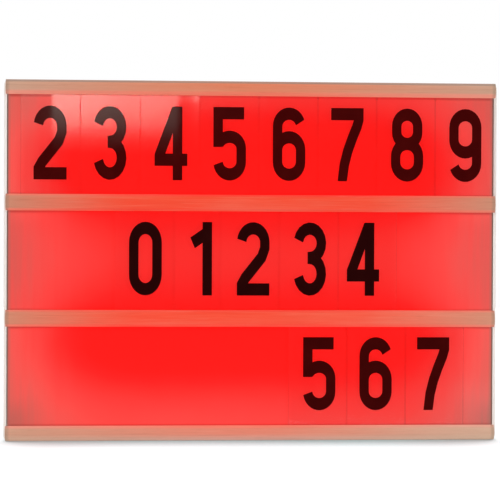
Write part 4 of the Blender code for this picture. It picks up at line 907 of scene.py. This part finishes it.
# A window behind the camera, which the first tiles of the top row mirror: a wide pane, a narrow one that
# shows near its top alone, and a dim stretch on either side, all dimmer towards their foot. Places are in
# metres along X and up Z, each with the share of the full shine there
WINDOW_BACK = -1.80
WINDOW_SPAN = (-.400, .120)
WINDOW_RISE = (.2986, .4600)
WINDOW_SHINE = 9.6
WINDOW_COLOUR = (1.0, 1.0, .88, 1.0)
WINDOW_ALONG = (
    (-.3990, .11), (-.3200, .12), (-.3130, 1.0), (-.2340, .93), (-.1900, .78), (-.1300, .72),
    (-.0730, .60), (-.0675, .47), (-.0650, .40), (-.0614, .24), (-.0574, .14), (-.0553, .12),
    (-.0454, .15), (-.0392, .21), (-.0372, .31), (-.0333, .41), (-.0293, .50), (-.0142, .53),
    (-.0128, .06), (.1100, .03),
)
WIDE_UP = (
    (.2986, 0.0), (.3248, .10), (.3367, .25), (.3488, .48), (.3610, .66), (.3849, .89), (.4093, 1.0),
)
NARROW_FROM = -.0650
NARROW_UP = (
    (.2986, 0.0), (.3420, .02), (.3664, .09), (.3874, .14), (.3953, .24), (.4015, .62), (.4075, 1.0),
)


def shares(stops, start, stop):
    """Places and shares of light as the stops of a grey ramp between two places."""
    return [((place - start) / (stop - start), grey(share)) for place, share in stops]


def mirrored_window():
    """The window, as a flat lamp whose light changes along it and up it."""
    left, right = WINDOW_SPAN
    low, high = WINDOW_RISE
    middle = ((left + right) / 2, WINDOW_BACK, (low + high) / 2)
    ahead = (middle[0], 0.0, middle[2])
    area = (right - left) * (high - low)
    window = lamp("window", middle, ahead, right - left, high - low, math.pi * area)
    window.data.use_nodes = True
    pane = Nodes(window.data.node_tree)
    x, _, z = pane.axes(pane.add("ShaderNodeNewGeometry").outputs["Position"])
    height = pane.spread(z, low, high, smooth=False)
    wide_up = pane.ramp(height, shares(WIDE_UP, low, high))
    narrow_up = pane.ramp(height, shares(NARROW_UP, low, high))
    up = pane.mix(pane.math("GREATER_THAN", x, NARROW_FROM), wide_up, narrow_up)
    along = pane.ramp(pane.spread(x, left, right, smooth=False), shares(WINDOW_ALONG, left, right))
    shine = pane.math("MULTIPLY", pane.math("MULTIPLY", up, along), WINDOW_SHINE)
    glare = pane.add("ShaderNodeEmission", {"Color": WINDOW_COLOUR, "Strength": shine}).outputs[0]
    pane.tree.links.new(glare, pane.add("ShaderNodeOutputLight").inputs["Surface"])


def photo_camera():
    """The camera of the photograph."""
    data = bpy.data.cameras.new("camera")
    data.sensor_width = CAMERA_SENSOR
    data.lens = CAMERA_LENS
    data.clip_start, data.clip_end = CAMERA_CLIP
    camera = bpy.data.objects.new("camera", data)
    turn = Matrix.Rotation(math.radians(CAMERA_YAW), 4, "Z")
    turn = turn @ Matrix.Rotation(math.radians(90 + CAMERA_PITCH), 4, "X")
    turn = turn @ Matrix.Rotation(math.radians(CAMERA_ROLL), 4, "Z")
    camera.matrix_world = Matrix.Translation(CAMERA_AT) @ turn
    bpy.context.scene.collection.objects.link(camera)
    bpy.context.scene.camera = camera


# Stage: floor and surround, lamps above, to both sides and behind, the window and the camera. The lamps are
# turned to the middle of the box
BOX_MIDDLE = (0.0, 0.0, .11)
pale_floor()
studio_world()
lamp("lamp_top", (0.0, .10, 1.7), BOX_MIDDLE, 1.6, 1.2, 12.0)
lamp("lamp_left", (-1.6, -1.3, 1.1), BOX_MIDDLE, .9, .9, 15.0)
lamp("lamp_right", (1.7, -1.2, .9), BOX_MIDDLE, .9, .9, 12.0)
lamp("lamp_back", (.5, 1.8, .9), BOX_MIDDLE, 1.2, .9, 7.0)
mirrored_window()
photo_camera()
bpy.context.scene.view_settings.view_transform = "Standard"
